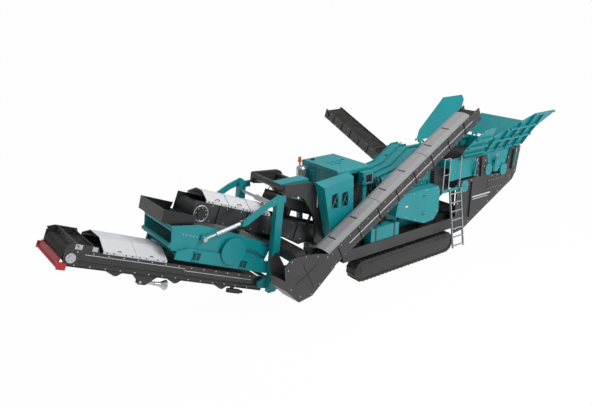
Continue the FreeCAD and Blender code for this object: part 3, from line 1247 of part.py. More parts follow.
tail_box = less("tail_box_shell", plate("tail_box_block", "XZ", [box_outline],
                                        -(s.return_half + 30), s.return_half + 30), [
    plate("tail_box_hollow", "XZ", [box_inside], -s.return_half, s.return_half),
    plate("tail_box_gap", "XZ", [[(-264, -15), (-60, 400), (-60, 900), (-900, 900), (-900, 300)]],
          s.return_half - 10, s.return_half + 40)])
node("tail_box", tail_box, return_base, return_turn)

# Pivot lug, level although the conveyor slopes
node("return_pivot", joined("return_pivot", [
    block("pivot_lug", (-70, 70), (-112, 40), (0, 100)),
    block("pivot_plate", (-110, 240), (-114.6, -90), (-40, 260)),
    rod("pivot_pin", "z", (0, 0, -35), s.hinge_pin, 170),
]), (s.pivot_x, s.pivot_y, s.pivot_low), (("z", s.return_yaw),))

# Transfer conveyor from the screen's lower end into the return conveyor's tail box
transfer_base = (s.transfer_x, 0, s.transfer_z)
transfer_turn = (("z", 90),)
node("transfer_belt", fixed("transfer_belt", band([(-1560, 0), (760, 0)], s.transfer_drum,
                                                  s.belt_thickness, s.transfer_half - 30)),
     transfer_base, transfer_turn)
transfer_parts = conveyor_frame("transfer_frame", s.transfer_half, -1700, 880, -150, 120, s.plate_thin / 2,
                                [-1200 + 620 * n for n in range(3)], s.transfer_drum)
for name, place in (("head", -1560), ("tail", 760)):
    transfer_parts.append(rod(f"transfer_{name}_drum", "y", (place, -(s.transfer_half - s.plate_thin / 2), 0),
                              s.transfer_drum - s.seat_gap, 2 * (s.transfer_half - s.plate_thin / 2)))
node("transfer_frame", joined("transfer_frame", transfer_parts), transfer_base, transfer_turn)

# Side conveyor on the far side, hinged near the feeder
bypass_base = (s.bypass_x, s.bypass_y, s.bypass_z)
bypass_turn = (("z", 90), ("y", -s.bypass_slope))
node("bypass_belt", fixed("bypass_belt", band([(-350, 0), (s.bypass_length, 0)], s.bypass_drum,
                                              s.belt_thickness, s.bypass_half - 40)),
     bypass_base, bypass_turn)
bypass_parts = conveyor_frame("bypass_frame", s.bypass_half, -480, s.bypass_length + 130, -170, 170,
                              s.plate_thin, [150 + 850 * n for n in range(4)], s.bypass_drum)
for name, place in (("head", s.bypass_length), ("tail", size_of(-350))):
    bypass_parts.append(rod(f"bypass_{name}_drum", "y", (place, -(s.bypass_half - s.plate_thin), 0),
                            s.bypass_drum - s.seat_gap, 2 * (s.bypass_half - s.plate_thin)))
for side_name, side in SIDES:
    bypass_parts.append(rod(f"bypass_pin_{side_name}", "y",
                            (0, span(side, s.bypass_half - 5, s.bypass_half + 50)[0], 0), s.hinge_pin, 55))
    bypass_parts.append(block(f"bypass_post_{side_name}", (130, 190),
                              span(side, s.bypass_half - s.plate_thin, s.bypass_half), (160, 290)))
bypass_parts.append(rod("bypass_bar", "y", (160, -(s.bypass_half - 5), 250), 32, 2 * (s.bypass_half - 5)))
node("bypass_frame", joined("bypass_frame", bypass_parts), bypass_base, bypass_turn)

# Stand that carries the side conveyor's hinge, on the chassis deck
stand_foot = s.track_height + 80 + s.seat_gap
stand = []
for tag, low in (("a", s.bypass_x - s.bypass_half - 34), ("b", s.bypass_x + s.bypass_half + 10)):
    stand.append(plate(f"bypass_ear_{tag}", "YZ", [
        [(870, stand_foot), (1170, stand_foot), (1170, 1600), (s.bypass_y + 60, s.bypass_z - 80),
         (s.bypass_y + 55, s.bypass_z + 60), (s.bypass_y - 70, s.bypass_z + 60), (960, 2000), (870, 1500)],
        ("round", s.bypass_y, s.bypass_z, pin_bore)], low, low + s.ear_thickness))
stand.append(rod("bypass_stand_tie", "x", (s.bypass_x - s.bypass_half - 20, 1000, 1500), 50,
                 2 * s.bypass_half + 40))
node("bypass_stand", joined("bypass_stand", stand))

# Service platform and ladder on the near side
node("service_platform", joined("service_platform", [
    block("platform_floor", (1450, 2300), (-1280, -1200.5), (2180, 2220)),
    block("platform_front", (1440, 2300), (-1300, -1280), (2160, 2260))]))
ladder = []
for number, place in enumerate((1750, 2270)):
    ladder.append(block(f"ladder_rail_{number}", (place, place + 35), (-30, 30), (0, 1960)))
for number in range(7):
    ladder.append(block(f"ladder_rung_{number}", (1750, 2290), (-25, 25), (60 + 290 * number, 90 + 290 * number)))
node("ladder", joined("ladder", ladder), (0, -1653.3, 300), (("x", -9.5),))

doc.recompute()

# Nothing is written until every object is sound
faults = [thing for thing in doc.Objects if "Invalid" in thing.State or "Error" in thing.State]
if faults:
    raise RuntimeError("; ".join(f"{thing.Label}: {thing.getStatusString()}" for thing in faults))
for thing in NODES:
    if thing.Shape.isNull() or not thing.Shape.isValid():
        raise RuntimeError(f"{thing.Label} has no sound shape")

os.makedirs("parts", exist_ok=True)
for thing in NODES:
    thing.Shape.exportStep(f"parts/{thing.Label}.step")
print(len(NODES), "nodes written")
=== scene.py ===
import math
import random

import bpy
from mathutils import Matrix, Vector


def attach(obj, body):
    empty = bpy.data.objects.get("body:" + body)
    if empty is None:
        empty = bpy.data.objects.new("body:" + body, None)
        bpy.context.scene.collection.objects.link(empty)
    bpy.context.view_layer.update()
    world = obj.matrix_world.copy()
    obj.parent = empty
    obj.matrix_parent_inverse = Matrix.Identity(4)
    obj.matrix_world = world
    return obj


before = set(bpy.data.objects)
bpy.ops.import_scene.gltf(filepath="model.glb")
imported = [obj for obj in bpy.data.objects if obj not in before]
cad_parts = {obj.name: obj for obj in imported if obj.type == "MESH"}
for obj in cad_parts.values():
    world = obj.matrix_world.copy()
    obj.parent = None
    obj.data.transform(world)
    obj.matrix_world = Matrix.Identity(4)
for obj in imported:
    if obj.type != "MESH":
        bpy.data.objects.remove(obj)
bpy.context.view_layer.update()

# ---------------------------------------------------------------------------
# The two crawler tracks: cast steel shoes bolted to a closed chain, worn
# bright where they meet the ground and caked with dry dust in their grooves.
# ---------------------------------------------------------------------------


class Channel:
    """One output of a finish's node tree. Arithmetic on it adds Math nodes."""

    def __init__(self, tree, socket):
        self.tree = tree
        self.socket = socket

    def make(self, kind, settings, inputs, output=0):
        made = self.tree.nodes.new(kind)
        for key, value in settings.items():
            setattr(made, key, value)
        for key, value in inputs.items():
            if isinstance(value, Channel):
                self.tree.links.new(value.socket, made.inputs[key])
            else:
                made.inputs[key].default_value = value
        return Channel(self.tree, made.outputs[output])

    def work(self, operation, first, second):
        return self.make("ShaderNodeMath", {"operation": operation}, {0: first, 1: second})

    def __add__(self, other):
        return self.work("ADD", self, other)

    def __radd__(self, other):
        return self.work("ADD", other, self)

    def __mul__(self, other):
        return self.work("MULTIPLY", self, other)

    def __rmul__(self, other):
        return self.work("MULTIPLY", other, self)

    def most(self, other):
        return self.work("MAXIMUM", self, other)

    def between(self, low, high):
        """0 below low, 1 above high, a straight slope between them."""
        return self.make(
            "ShaderNodeMapRange",
            {"clamp": True},
            {"Value": self, "From Min": low, "From Max": high, "To Min": 0.0, "To Max": 1.0},
        )

    def part(self, axis):
        return self.make("ShaderNodeSeparateXYZ", {}, {0: self}, "XYZ".index(axis))

    def grain(self, scale, detail=3.0):
        """Noise from 0 to 1, scale cells to the metre."""
        return self.make("ShaderNodeTexNoise", {}, {"Vector": self, "Scale": scale, "Detail": detail})

    def over(self, under, top):
        """The colour top laid on the colour under where this mask is 1."""
        return self.make(
            "ShaderNodeMix", {"data_type": "RGBA"}, {0: self, 6: under, 7: top}, 2
        )


class Finish:
    """A procedural material: its tree, the place on the object and the shader."""

    def __init__(self, name, metallic=0.0, roughness=0.5, coat=0.0):
        self.material = bpy.data.materials.new(name)
        self.material.use_nodes = True
        self.tree = self.material.node_tree
        self.shader = self.tree.nodes["Principled BSDF"]
        self.shader.inputs["Metallic"].default_value = metallic
        self.shader.inputs["Roughness"].default_value = roughness
        self.shader.inputs["Coat Weight"].default_value = coat
        self.shader.inputs["Coat Roughness"].default_value = 0.12
        there = self.tree.nodes.new("ShaderNodeTexCoord")
        self.place = Channel(self.tree, there.outputs["Object"])
        self.facing = Channel(self.tree, there.outputs["Normal"])

    def set(self, **channels):
        for name, value in channels.items():
            socket = self.shader.inputs[name.replace("_", " ")]
            if isinstance(value, Channel):
                self.tree.links.new(value.socket, socket)
            else:
                socket.default_value = value

    def bump(self, height, depth, strength=0.6):
        self.set(
            Normal=height.make(
                "ShaderNodeBump",
                {},
                {"Height": height, "Strength": strength, "Distance": depth},
            )
        )


def tone(red, green, blue):
    """A colour as it is seen on screen, 0 to 255, made linear for the shader."""
    parts = [(c / 255 / 12.92 if c < 11 else ((c / 255 + 0.055) / 1.055) ** 2.4)
        for c in (red, green, blue)]
    return (*parts, 1.0)


def wear(nodes, finish):
    for name in nodes:
        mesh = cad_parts[name].data
        mesh.materials.clear()
        mesh.materials.append(finish.material)


MM = 0.001
track_centre = Vector((2.16292, -1.062475, 0.0))
level = Matrix.Identity(4)


def broken_edges(piece, edge):
    """Takes the sharpness off every edge of the piece, by edge millimetres."""
    if edge:
        bevel = piece.modifiers.new("edge", "BEVEL")
        bevel.width = edge * MM
        bevel.segments = 1
        bevel.limit_method = "ANGLE"
        bpy.ops.object.modifier_apply(modifier="edge")
    return piece


def slab(x, y, z, edge=3):
    """A flat or square bar from its low and high value on each axis, in millimetres."""
    bpy.ops.object.select_all(action="DESELECT")
    bpy.ops.mesh.primitive_cube_add(size=1.0, location=[(a + b) / 2 * MM for a, b in (x, y, z)])
    piece = bpy.context.active_object
    piece.scale = [abs(b - a) * MM for a, b in (x, y, z)]
    bpy.ops.object.transform_apply(location=True, rotation=True, scale=True)
    return broken_edges(piece, edge)


def bar(start, end, radius, sides=14, edge=2):
    """A round bar between two points, with its rims broken."""
    start, end = Vector(start) * MM, Vector(end) * MM
    along = end - start
    bpy.ops.object.select_all(action="DESELECT")
    bpy.ops.mesh.primitive_cylinder_add(vertices=sides, radius=radius * MM, depth=along.length)
    piece = bpy.context.active_object
    piece.location = (start + end) / 2
    piece.rotation_euler = along.to_track_quat("Z", "Y").to_euler()
    bpy.ops.object.transform_apply(location=True, rotation=True, scale=True)
    return broken_edges(piece, edge)


def pipe(points, radius, rounds=2, closed=False):
    """A bent pipe or hose through its points, in millimetres."""
    bpy.ops.object.select_all(action="DESELECT")
    run = bpy.data.curves.new("run", "CURVE")
    run.dimensions = "3D"
    line = run.splines.new("NURBS")
    line.points.add(len(points) - 1)
    for knot, point in zip(line.points, points):
        knot.co = (*(Vector(point) * MM), 1.0)
    line.use_endpoint_u = not closed
    line.use_cyclic_u = closed
    line.order_u = 3
    run.resolution_u = 5
    run.bevel_depth = radius * MM
    run.bevel_resolution = rounds
    run.use_fill_caps = True
    piece = bpy.data.objects.new("run", run)
    bpy.context.scene.collection.objects.link(piece)
    piece.select_set(True)
    bpy.context.view_layer.objects.active = piece
    bpy.ops.object.convert(target="MESH")
    return bpy.context.active_object


def sheet_metal(outline, plane, low, high, edge=3):
    """A cut plate: its outline in a plane, and the low and high value across it."""
    places = {"XZ": lambda u, v, w: (u, w, v), "YZ": lambda u, v, w: (w, u, v), "XY": lambda u, v,
        w: (u, v, w)}
    put = places[plane]
    bpy.ops.object.select_all(action="DESELECT")
    bpy.ops.mesh.primitive_circle_add(vertices=len(outline), radius=1.0, fill_type="NGON")
    piece = bpy.context.active_object
    for corner, (u, v) in zip(piece.data.vertices, outline):
        corner.co = Vector(put(u, v, low)) * MM
    bpy.ops.object.mode_set(mode="EDIT")
    bpy.ops.mesh.select_all(action="SELECT")
    step = Vector(put(0, 0, high - low)) * MM
    bpy.ops.mesh.extrude_region_move(TRANSFORM_OT_translate={"value": step})
    bpy.ops.mesh.select_all(action="SELECT")
    bpy.ops.mesh.normals_make_consistent(inside=False)
    bpy.ops.object.mode_set(mode="OBJECT")
    return broken_edges(piece, edge)


def together(pieces):
    """One piece made of several."""
    bpy.ops.object.select_all(action="DESELECT")
    for piece in pieces:
        piece.select_set(True)
    bpy.context.view_layer.objects.active = pieces[0]
    if len(pieces) > 1:
        bpy.ops.object.join()
    return bpy.context.active_object


def repeated(piece, spots):
    """The piece at each spot, every copy with its own mesh."""
    copies = []
    for spot in spots:
        copy = piece.copy()
        copy.data = piece.data.copy()
        copy.data.transform(Matrix.Translation(Vector(spot) * MM))
        bpy.context.scene.collection.objects.link(copy)
        copies.append(copy)
    bpy.data.objects.remove(piece)
    return together(copies)


def hex_bolts(spots, axis, size=16):
    """Hexagon heads on washers, all facing along one axis."""
    reach = {"x": (1, 0, 0), "y": (0, 1, 0), "z": (0, 0, 1)}[axis[-1]]
    sign = -1 if axis[0] == "-" else 1
    out = [sign * n for n in reach]
    head = bar((0, 0, 0), [n * size * 0.8 for n in out], size, 6, 2)
    washer = bar((0, 0, 0), [n * size * 0.25 for n in out], size * 1.5, 12, 0)
    return repeated(together([head, washer]), spots)


def fitted(name, pieces, finish, body="chassis", place=level):
    """Joins the pieces, sets them in their place on the machine and on their body."""
    piece = together(pieces)
    piece.name = name
    piece.data.name = name
    piece.data.transform(Matrix.Translation(track_centre) @ place)
    piece.data.materials.clear()
    piece.data.materials.append(finish.material)
    bpy.ops.object.shade_smooth_by_angle(angle=math.radians(32))
    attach(piece, body)


dust = tone(150, 140, 124)

shoe_steel = Finish("cast_track_steel", metallic=0.45)
patches = shoe_steel.place.grain(3.0)
pits = shoe_steel.place.grain(55.0, 4.0)
caked = patches.between(0.52, 0.66) * 0.55
rubbed = pits.between(0.55, 0.7) * 0.5
shoe_steel.set(
    Base_Color=rubbed.over(caked.over(tone(44, 42, 42), tone(92, 84, 74)), tone(120, 118, 116)),
    Roughness=0.42 + caked * 0.5,
)
shoe_steel.bump(pits, 0.003)
wear(["track_left", "track_right"], shoe_steel)

guard_paint = Finish("black_guard_paint", roughness=0.34, coat=0.25)
soot = guard_paint.place.grain(1.6, 4.0)
splash = (guard_paint.place.part("Z") + soot * 0.35).between(0.5, 0.2)
guard_paint.set(
    Base_Color=(splash * 0.07).over(tone(14, 14, 15), dust),
    Roughness=0.3 + splash * 0.35,
)
guard_paint.bump(guard_paint.place.grain(140.0), 0.0006, 0.3)
wear(["track_frame_left", "track_frame_right", "end_wheels_left", "end_wheels_right"], guard_paint)

near_far = (("near", -1), ("far", 1))
guard_face = 1266
end_wheel_x, end_wheel_z = -1850, 360

for side_name, side in near_far:
    face = guard_face * side
    bolts = hex_bolts([(x, face, z) for x in range(-1500, 1501, 500) for z in (180, 520)],
        "y" if side > 0 else "-y", 14)
    fitted(f"track_guard_bolts_{side_name}", [bolts], guard_paint)
    rail = slab((-1750, 1750), (face - 4, face + 5), (395, 409), 3)
    hub = bar((end_wheel_x, face - 12, end_wheel_z), (end_wheel_x, face + 10, end_wheel_z), 120, 24, 4)
    cap = bar((end_wheel_x, face, end_wheel_z), (end_wheel_x, face + 18 * side, end_wheel_z), 70, 18, 5)
    fitted(f"track_guard_crease_{side_name}", [rail, hub, cap], guard_paint)

# ---------------------------------------------------------------------------
# The chassis: two deep side plates of welded sheet with cross members, in
# charcoal enamel, dusty on every face that looks up. Bolts along the hopper
# joint, two pinstripes, stiffeners and a hatch on each side plate.
# ---------------------------------------------------------------------------

enamel_roughness = 0.42


def enamel(name, colour, faded, chip):
    """Sprayed machine enamel: slow colour drift, settled dust, small chips."""
    made = Finish(name, roughness=enamel_roughness, coat=0.12)
    drift = made.place.grain(0.9, 2.0)
    settled = made.facing.part("Z").between(0.55, 1.0) * made.place.grain(5.0, 5.0).between(0.4, 0.75)
    speck = made.place.grain(38.0, 2.0).between(0.735, 0.76)
    base = drift.between(0.35, 0.65).over(colour, faded)
    made.set(
        Base_Color=(speck * 0.6).over((settled * 0.12).over(base, dust), chip),
        Roughness=enamel_roughness + settled * 0.3 + speck * 0.2,
    )
    made.bump(made.place.grain(220.0, 2.0), 0.0005, 0.25)
    return made


charcoal = enamel("charcoal_enamel", tone(42, 42, 44), tone(52, 52, 54), tone(104, 100, 96))
wear(
    [
        "chassis_frame", "arch_frame", "product_frame", "fines_frame", "fines_head", "return_frame",
        "tail_box", "return_pivot", "transfer_frame", "bypass_frame", "magnet", "grizzly_feeder",
    ],
    charcoal,
)

zinc = Finish("galvanised_steel", metallic=0.8)
crystals = zinc.place.grain(26.0, 2.0)
zinc.set(
    Base_Color=crystals.between(0.35, 0.65).over(tone(176, 178, 182), tone(206, 208, 210)),
    Roughness=0.3 + crystals * 0.2,
)
wear(["ladder", "air_cleaner", "cross_cylinder", "jack_legs"], zinc)

stripe = Finish("white_stripe", roughness=0.4)
rubbed_off = stripe.place.grain(60.0).between(0.66, 0.7)
stripe.set(Base_Color=(rubbed_off * 0.5).over(tone(222, 222, 222), tone(90, 90, 92)))

side_plate_face = 1200
for side_name, side in near_far:
    face = side_plate_face * side
    out = "y" if side > 0 else "-y"
    joint = [(x, face, z) for x, z in (
        (2380, 700), (2380, 1000), (2380, 1300), (2380, 1600), (2380, 1900), (2380, 2200),
        (2700, 2310), (3000, 2310), (3290, 2450), (3290, 2650), (3290, 2850), (3640, 2700), (3660,
            2900),
        (4100, 2290), (4400, 2270), (4700, 2240), (4880, 2560), (4960, 2800), (5480, 2600), (5500,
            2850),
        (5520, 3050), (5380, 2260), (5100, 2120), (4500, 1660), (4000, 1380), (3500, 1120), (3000,
            860))]
    fitted(f"side_plate_bolts_{side_name}", [hex_bolts(joint, out, 15)], zinc)
    fitted(f"side_plate_stripes_{side_name}", [
        slab((3120, 4090), (face - 1, face + 2 * side), (1672, 1712), 0),
        slab((3160, 3960), (face - 1, face + 2 * side), (1596, 1620), 0)], stripe)
    welded = [
        sheet_metal([(3000, 1000), (3060, 1000), (3060, 2250), (3000, 2250)], "XZ", face,
            face + 50 * side),
        sheet_metal([(3420, 2380), (3480, 2380), (3520, 3060), (3380, 3060)], "XZ", face,
            face + 60 * side),
        sheet_metal([(5120, 2360), (5180, 2360), (5300, 3040), (5160, 3040)], "XZ", face,
            face + 60 * side),
        slab((3900, 4700), (face, face + 8 * side), (1800, 2180), 3),
    ]
    fitted(f"side_plate_stiffeners_{side_name}", welded, charcoal)
    fitted(f"side_plate_hatch_bolts_{side_name}", [hex_bolts(
        [(x, face + 8 * side, z) for x in range(3950, 4651, 140)
            for z in (1840, 2140)], out, 10)], zinc)

# ---------------------------------------------------------------------------
# The feed hopper: folding steel walls in teal, stiffened by ribs outside,
# with round ram covers bolted over the chassis horns on both sides.
# ---------------------------------------------------------------------------

teal = enamel("teal_enamel", tone(0, 136, 143), tone(0, 144, 150), tone(70, 140, 142))
wear(
    [
        "hopper_body", "hopper_wall_left", "hopper_wall_right", "hopper_end_wall", "hopper_panel",
        "crusher_housing", "crusher_hood", "drive_guard", "fuel_tank", "unit_deck", "power_canopy",
        "canopy_door", "control_cabinet", "cabinet_door", "side_shroud", "post_frame",
        "screen_subframe", "screen_box", "bypass_stand", "service_platform",
    ],
    teal,
)

ram_inner, ram_outer = 1158, 1236
wall_ram_places = (3100, 4150, 5250)
cover_outline = [(-170, -90), (-110, -190), (60, -210), (160, -120), (180, 60), (90, 190), (-80, 200),
    (-180, 80)]
for side_name, side in near_far:
    out = "y" if side > 0 else "-y"
    covers = []
    bolts = []
    for x, z in ((4260, 2620), (4700, 2420), (3860, 2560), (2650, 2180)):
        covers.append(sheet_metal([(x + u, z + v) for u, v in cover_outline], "XZ", ram_inner * side,
            ram_outer * side, 8))
        bolts += [(x + u * 0.75, ram_outer * side, z + v * 0.75) for u, v in cover_outline]
    fitted(f"ram_covers_{side_name}", covers, teal)
    fitted(f"ram_cover_bolts_{side_name}", [hex_bolts(bolts, out, 11)], zinc)
    rams = []
    for x in wall_ram_places:
        rams.append(bar((x, 1215 * side, 2480), (x, 1270 * side, 2980), 42, 16, 4))
        rams.append(bar((x, 1210 * side, 2460), (x, 1215 * side, 2520), 60, 12, 4))
    fitted(f"wall_ram_barrels_{side_name}", rams, teal)
    fitted(f"wall_ram_rods_{side_name}", [
        bar((x, 1270 * side, 2960), (x, 1290 * side, 3090), 24, 14, 2) for x in wall_ram_places], zinc)

# ---------------------------------------------------------------------------
# The crusher: ribbed steel hood over a welded housing, its two silver hood
# rams, bolted wear doors on the side, and the rotor inside.
# ---------------------------------------------------------------------------

rotor_metal = Finish("rotor_steel", metallic=0.8)
scored = rotor_metal.place.grain(30.0, 5.0)
rotor_metal.set(
    Base_Color=scored.between(0.4, 0.65).over(tone(120, 116, 110), tone(160, 158, 154)),
    Roughness=0.3 + scored * 0.3,
)
wear(["crusher_rotor"], rotor_metal)

housing_face = 740
for side_name, side in near_far:
    out = "y" if side > 0 else "-y"
    face = housing_face * side
    flange = [(x, face, 2440) for x in range(-480, 1400, 155) if abs((x + 560) % 620 - 15) > 40]
    fitted(f"housing_flange_bolts_{side_name}", [hex_bolts(flange, out, 14)], zinc)
    doors = [
        sheet_metal([(-430, 2560), (250, 2560), (250, 2840), (-430, 2700)], "XZ", face,
            face + 16 * side, 5),
        sheet_metal([(420, 2560), (1300, 2560), (1300, 3280), (1060, 3280), (420, 2900)], "XZ", face,
            face + 16 * side, 5),
    ]
    fitted(f"hood_doors_{side_name}", doors, teal, "crusher_hood")
    fitted(f"hood_door_bolts_{side_name}", [hex_bolts(
        [(x, face + 16 * side, 2590) for x in range(-400, 1300, 140) if not 230 < x < 440]
        + [(1260, face + 16 * side, z) for z in (2760, 2930, 3100, 3240)]
        + [(460, face + 16 * side, z) for z in (2740, 2880)], out, 12)], zinc, "crusher_hood")
    fitted(f"hood_ram_rods_{side_name}", [bar((-540, face + 45 * side, 2560),
        (-380, face + 45 * side, 2720), 26, 14, 2)],
           zinc, "crusher_hood")
    fitted(f"hood_ram_barrels_{side_name}", [bar((-640, face + 95 * side, 2330),
        (60, face + 95 * side, 2400), 55, 16, 5)], zinc)

fitted("hood_lifting_eyes", [repeated(pipe([(0, -60, 0), (0, -50, 70), (0, 0, 100), (0, 50, 70),
    (0, 60, 0)], 12),
       [(1250, -450, 3450), (1250, 450, 3450), (620, -450, 3150),
           (620, 450, 3150)])], charcoal, "crusher_hood")

# Drive guard: pressed cover over the belt drive, held by quarter-turn bolts.
cover_face = -1250
guard_spots = [(-380, 2400), (200, 2400), (760, 2400), (1230, 2390), (1320, 2240),
               (1320, 1620), (1120, 1400), (720, 1370), (300, 1520), (-120, 1690)]
fitted("drive_guard_bolts", [hex_bolts([(x, cover_face, z) for x, z in guard_spots], "-y", 13)], zinc)
fitted("drive_guard_handles", [
    pipe([(x, cover_face, z), (x, -1292, z), (x + 60, -1300, z), (x + 120, -1292, z),
        (x + 120, cover_face, z)], 9)
    for x, z in ((640, 2290), (640, 1690))], zinc)
red_glass = Finish("red_reflector", roughness=0.15, coat=0.4)
facets = red_glass.place.grain(160.0, 0.0)
red_glass.set(Base_Color=facets.between(0.3, 0.7).over(tone(186, 20, 26), tone(214, 40, 44)))
fitted("drive_guard_reflector", [slab((-300, -170), (cover_face - 6, cover_face), (2010, 2060), 1)],
    red_glass)
fitted("drive_guard_plate", [slab((-170, -60), (cover_face - 6, cover_face), (2010, 2060), 1)], stripe)

# ---------------------------------------------------------------------------
# The power unit: diesel engine under a folded canopy, its radiator behind the
# side shroud, fuel tank on the deck, hoses and pipes in the gap to the crusher.
# ---------------------------------------------------------------------------

engine_metal = Finish("engine_castings", metallic=0.5)
oily = engine_metal.place.grain(9.0, 5.0)
engine_metal.set(
    Base_Color=oily.between(0.4, 0.7).over(tone(70, 70, 70), tone(36, 34, 32)),
    Roughness=0.35 + oily * 0.3,
)
engine_metal.bump(oily, 0.01)
wear(["engine_block"], engine_metal)

black_enamel = enamel("black_enamel", tone(16, 16, 17), tone(23, 23, 24), tone(80, 78, 76))
wear(["feeder_springs", "lamp_bar", "feed_box"], black_enamel)

hose_rubber = Finish("hose_rubber", roughness=0.5)
braid = hose_rubber.place.grain(300.0, 1.0)
hose_rubber.set(Base_Color=braid.between(0.3, 0.7).over(tone(18, 18, 19), tone(34, 34, 35)))
hose_rubber.bump(braid, 0.001)

vent_places = (-2140, -1960, -1780)
vents = []
for x in vent_places:
    for y in (-60, 130):
        vents.append(sheet_metal([(x, y), (x + 120, y), (x + 120, y + 60), (x, y + 60)], "XY", 3459,
            3463, 1))
fitted("canopy_vents", vents, black_enamel)
fitted("canopy_vent_hoods", [repeated(sheet_metal([(0, 0), (64, 34), (60, 38), (0, 6)], "YZ", -10, 130,
    1),
       [(x, y, 3461) for x in vent_places for y in (-64, 126)])], teal)
fitted("canopy_seams", [
    slab((-2502, -1288), (-752, -749), (3330, 3338), 0),
    slab((-2503, -2499), (-740, 940), (3330, 3338), 0), slab((-2503, -2499), (90, 98), (2680, 3330),
        0)], black_enamel)
fitted("canopy_latches", [repeated(together([slab((0, 70), (0, 8), (0, 110), 3),
    slab((22, 48), (8, 20), (20, 90), 3)]),
       [(-1500, 950, 2960)])], black_enamel, "canopy_door")
fitted("canopy_roof_bolts", [hex_bolts([(x, y, 3460) for x in range(-2440, -1340, 180)
    for y in (-700, 900)], "z", 9)], zinc)
louvres = [sheet_metal([(952, z), (966, z - 26), (970, z - 22), (955, z + 6)], "YZ", x, x + 340, 0)
           for x in (-2300, -1900) for z in range(2860, 3240, 42)]
fitted("door_louvres", louvres, teal, "canopy_door")
fitted("end_louvres", [sheet_metal([(-2502, z), (-2516, z - 26), (-2520, z - 22), (-2505, z + 6)],
    "XZ", 260, 760, 0)
       for z in range(2860, 3240, 42)], teal)

random.seed(7)
runs = []
for number in range(16):
    y = -1050 + 70 * (number % 8) + random.uniform(-18, 18)
    x = -1130 + 140 * (number // 8) + random.uniform(-30, 30)
    runs.append(pipe([(x, y, 1180), (x + random.uniform(-60, 60), y, 1700),
        (x + random.uniform(-70, 60), y + 40, 2150),
                      (x + random.uniform(-60, 70), y + 20, 2600), (x + random.uniform(-20, 60),
                          y + 60, 2900),
                      (x + 90, y + 240, 3010)], random.choice((13, 17, 22)), 1))
for number in range(8):
    z = 1640 + 46 * number
    runs.append(pipe([(-1150, -980, z), (-960, -1010, z + 30), (-760, -960, z), (-655, -900, z - 20),
        (-655, -760, z - 20)], 16, 1))
fitted("hose_bundle", runs, hose_rubber)
fitted("valve_bank", [slab((-1180, -800), (-1040, -860), (2040, 2260), 8)]
       + [bar((-1140 + 62 * n, -1040, 2150), (-1140 + 62 * n, -1090, 2150), 22, 10, 3)
           for n in range(6)], zinc)
fitted("oil_tank", [slab((-1130, -860), (-700, 200), (2300, 2620), 20),
    slab((-1200, -645), (-600, 100), (2284, 2302), 4)], charcoal)
fitted("oil_tank_trim", [bar((-990, -300, 2620), (-990, -300, 2660), 50, 18, 6),
    slab((-1133, -1128), (-600, -560), (2380, 2560), 1)], zinc)
fitted("exhaust", [bar((-2280, 700, 3455), (-2280, 700, 3500), 60, 20, 8)], black_enamel)

# Side shroud: folded sheet with two framed, braced windows over the radiator.
radiator = [slab((-3200, -2480), (-1215, -1150), (2520, 3100), 4)]
radiator += [slab((-3180, -2500), (-1222, -1214), (z, z + 9), 0) for z in range(2540, 3080, 30)]
fitted("radiator", radiator, black_enamel)
braces = []
for left, right, top_left, top_right in ((-3140, -2900, 3000, 3040), (-2780, -2540, 3000, 3020)):
    braces.append(pipe([(left, -1268, 2600), (left + 60, -1268, 2700),
        (right - 30, -1268, top_right - 20)], 13, 1))
    braces.append(pipe([(right, -1268, 2600), (right - 60, -1268, 2720),
        ((left + right) / 2, -1268, 2810)], 11, 1))
    braces.append(slab((left - 12, right + 12), (-1276, -1262), (2585, 2603), 2))
    braces.append(slab((left - 14, left + 2), (-1276, -1262), (2590, top_left), 2))
    braces.append(slab((right - 2, right + 14), (-1276, -1262), (2590, top_right), 2))
fitted("shroud_window_frames", braces, teal)
fitted("shroud_bolts", [hex_bolts([(x, -1270, 1850) for x in range(-3080, -2340, 150)]
       + [(-2372, -1270, z) for z in range(2000, 3380, 230)], "-y", 9)], zinc)

fitted("tank_straps", [slab((x, x + 60), (-1186, -1178), (805, 1580), 2) for x in (-1340, -560)]
       + [slab((x, x + 60), (-1186, -870), (1580, 1586), 1) for x in (-1340, -560)], charcoal)
fitted("tank_filler", [bar((-1400, -1020, 1580), (-1400, -1020, 1622), 60, 20, 8)], black_enamel)

# Control cabinet: painted steel with a grey-framed screen in its door.
glass = Finish("dark_screen", roughness=0.08, coat=0.6)
glaze = glass.place.grain(6.0)
glass.set(Base_Color=glaze.over(tone(14, 18, 20), tone(26, 32, 34)))
grey_frame = enamel("grey_frame", tone(120, 124, 126), tone(132, 136, 138), tone(80, 80, 80))
fitted("cabinet_screen", [slab((-1672, -1438), (-1032, -1026), (3053, 3277), 1)], glass, "cabinet_door")
fitted("cabinet_bezel", [slab((-1694, -1670), (-1046, -1036), (3031, 3299), 2),
    slab((-1440, -1416), (-1046, -1036), (3031, 3299), 2),
       slab((-1670, -1440), (-1046, -1036), (3031, 3055), 2), slab((-1670, -1440), (-1046, -1036),
           (3275, 3299), 2)],
       grey_frame, "cabinet_door")

lens = Finish("orange_lens", roughness=0.12, coat=0.5)
tint = lens.place.grain(30.0)
lens.set(Base_Color=tint.over(tone(216, 78, 10), tone(240, 118, 30)))
wear(["beacon"], lens)
fitted("deck_rail", [
    pipe([(-3360, -900, 2600), (-3360, -900, 3110), (-3300, -920, 3160), (-2900, -960, 3150),
        (-2440, -1150, 3170)], 20),
    pipe([(-3340, -900, 2850), (-2960, -960, 2840)], 14)], zinc)

# ---------------------------------------------------------------------------
# The product conveyor: rubber belts in charcoal sheet frames. Covers are
# moulded panels screwed to the frame's top edge, with a grab handle on each.
# ---------------------------------------------------------------------------

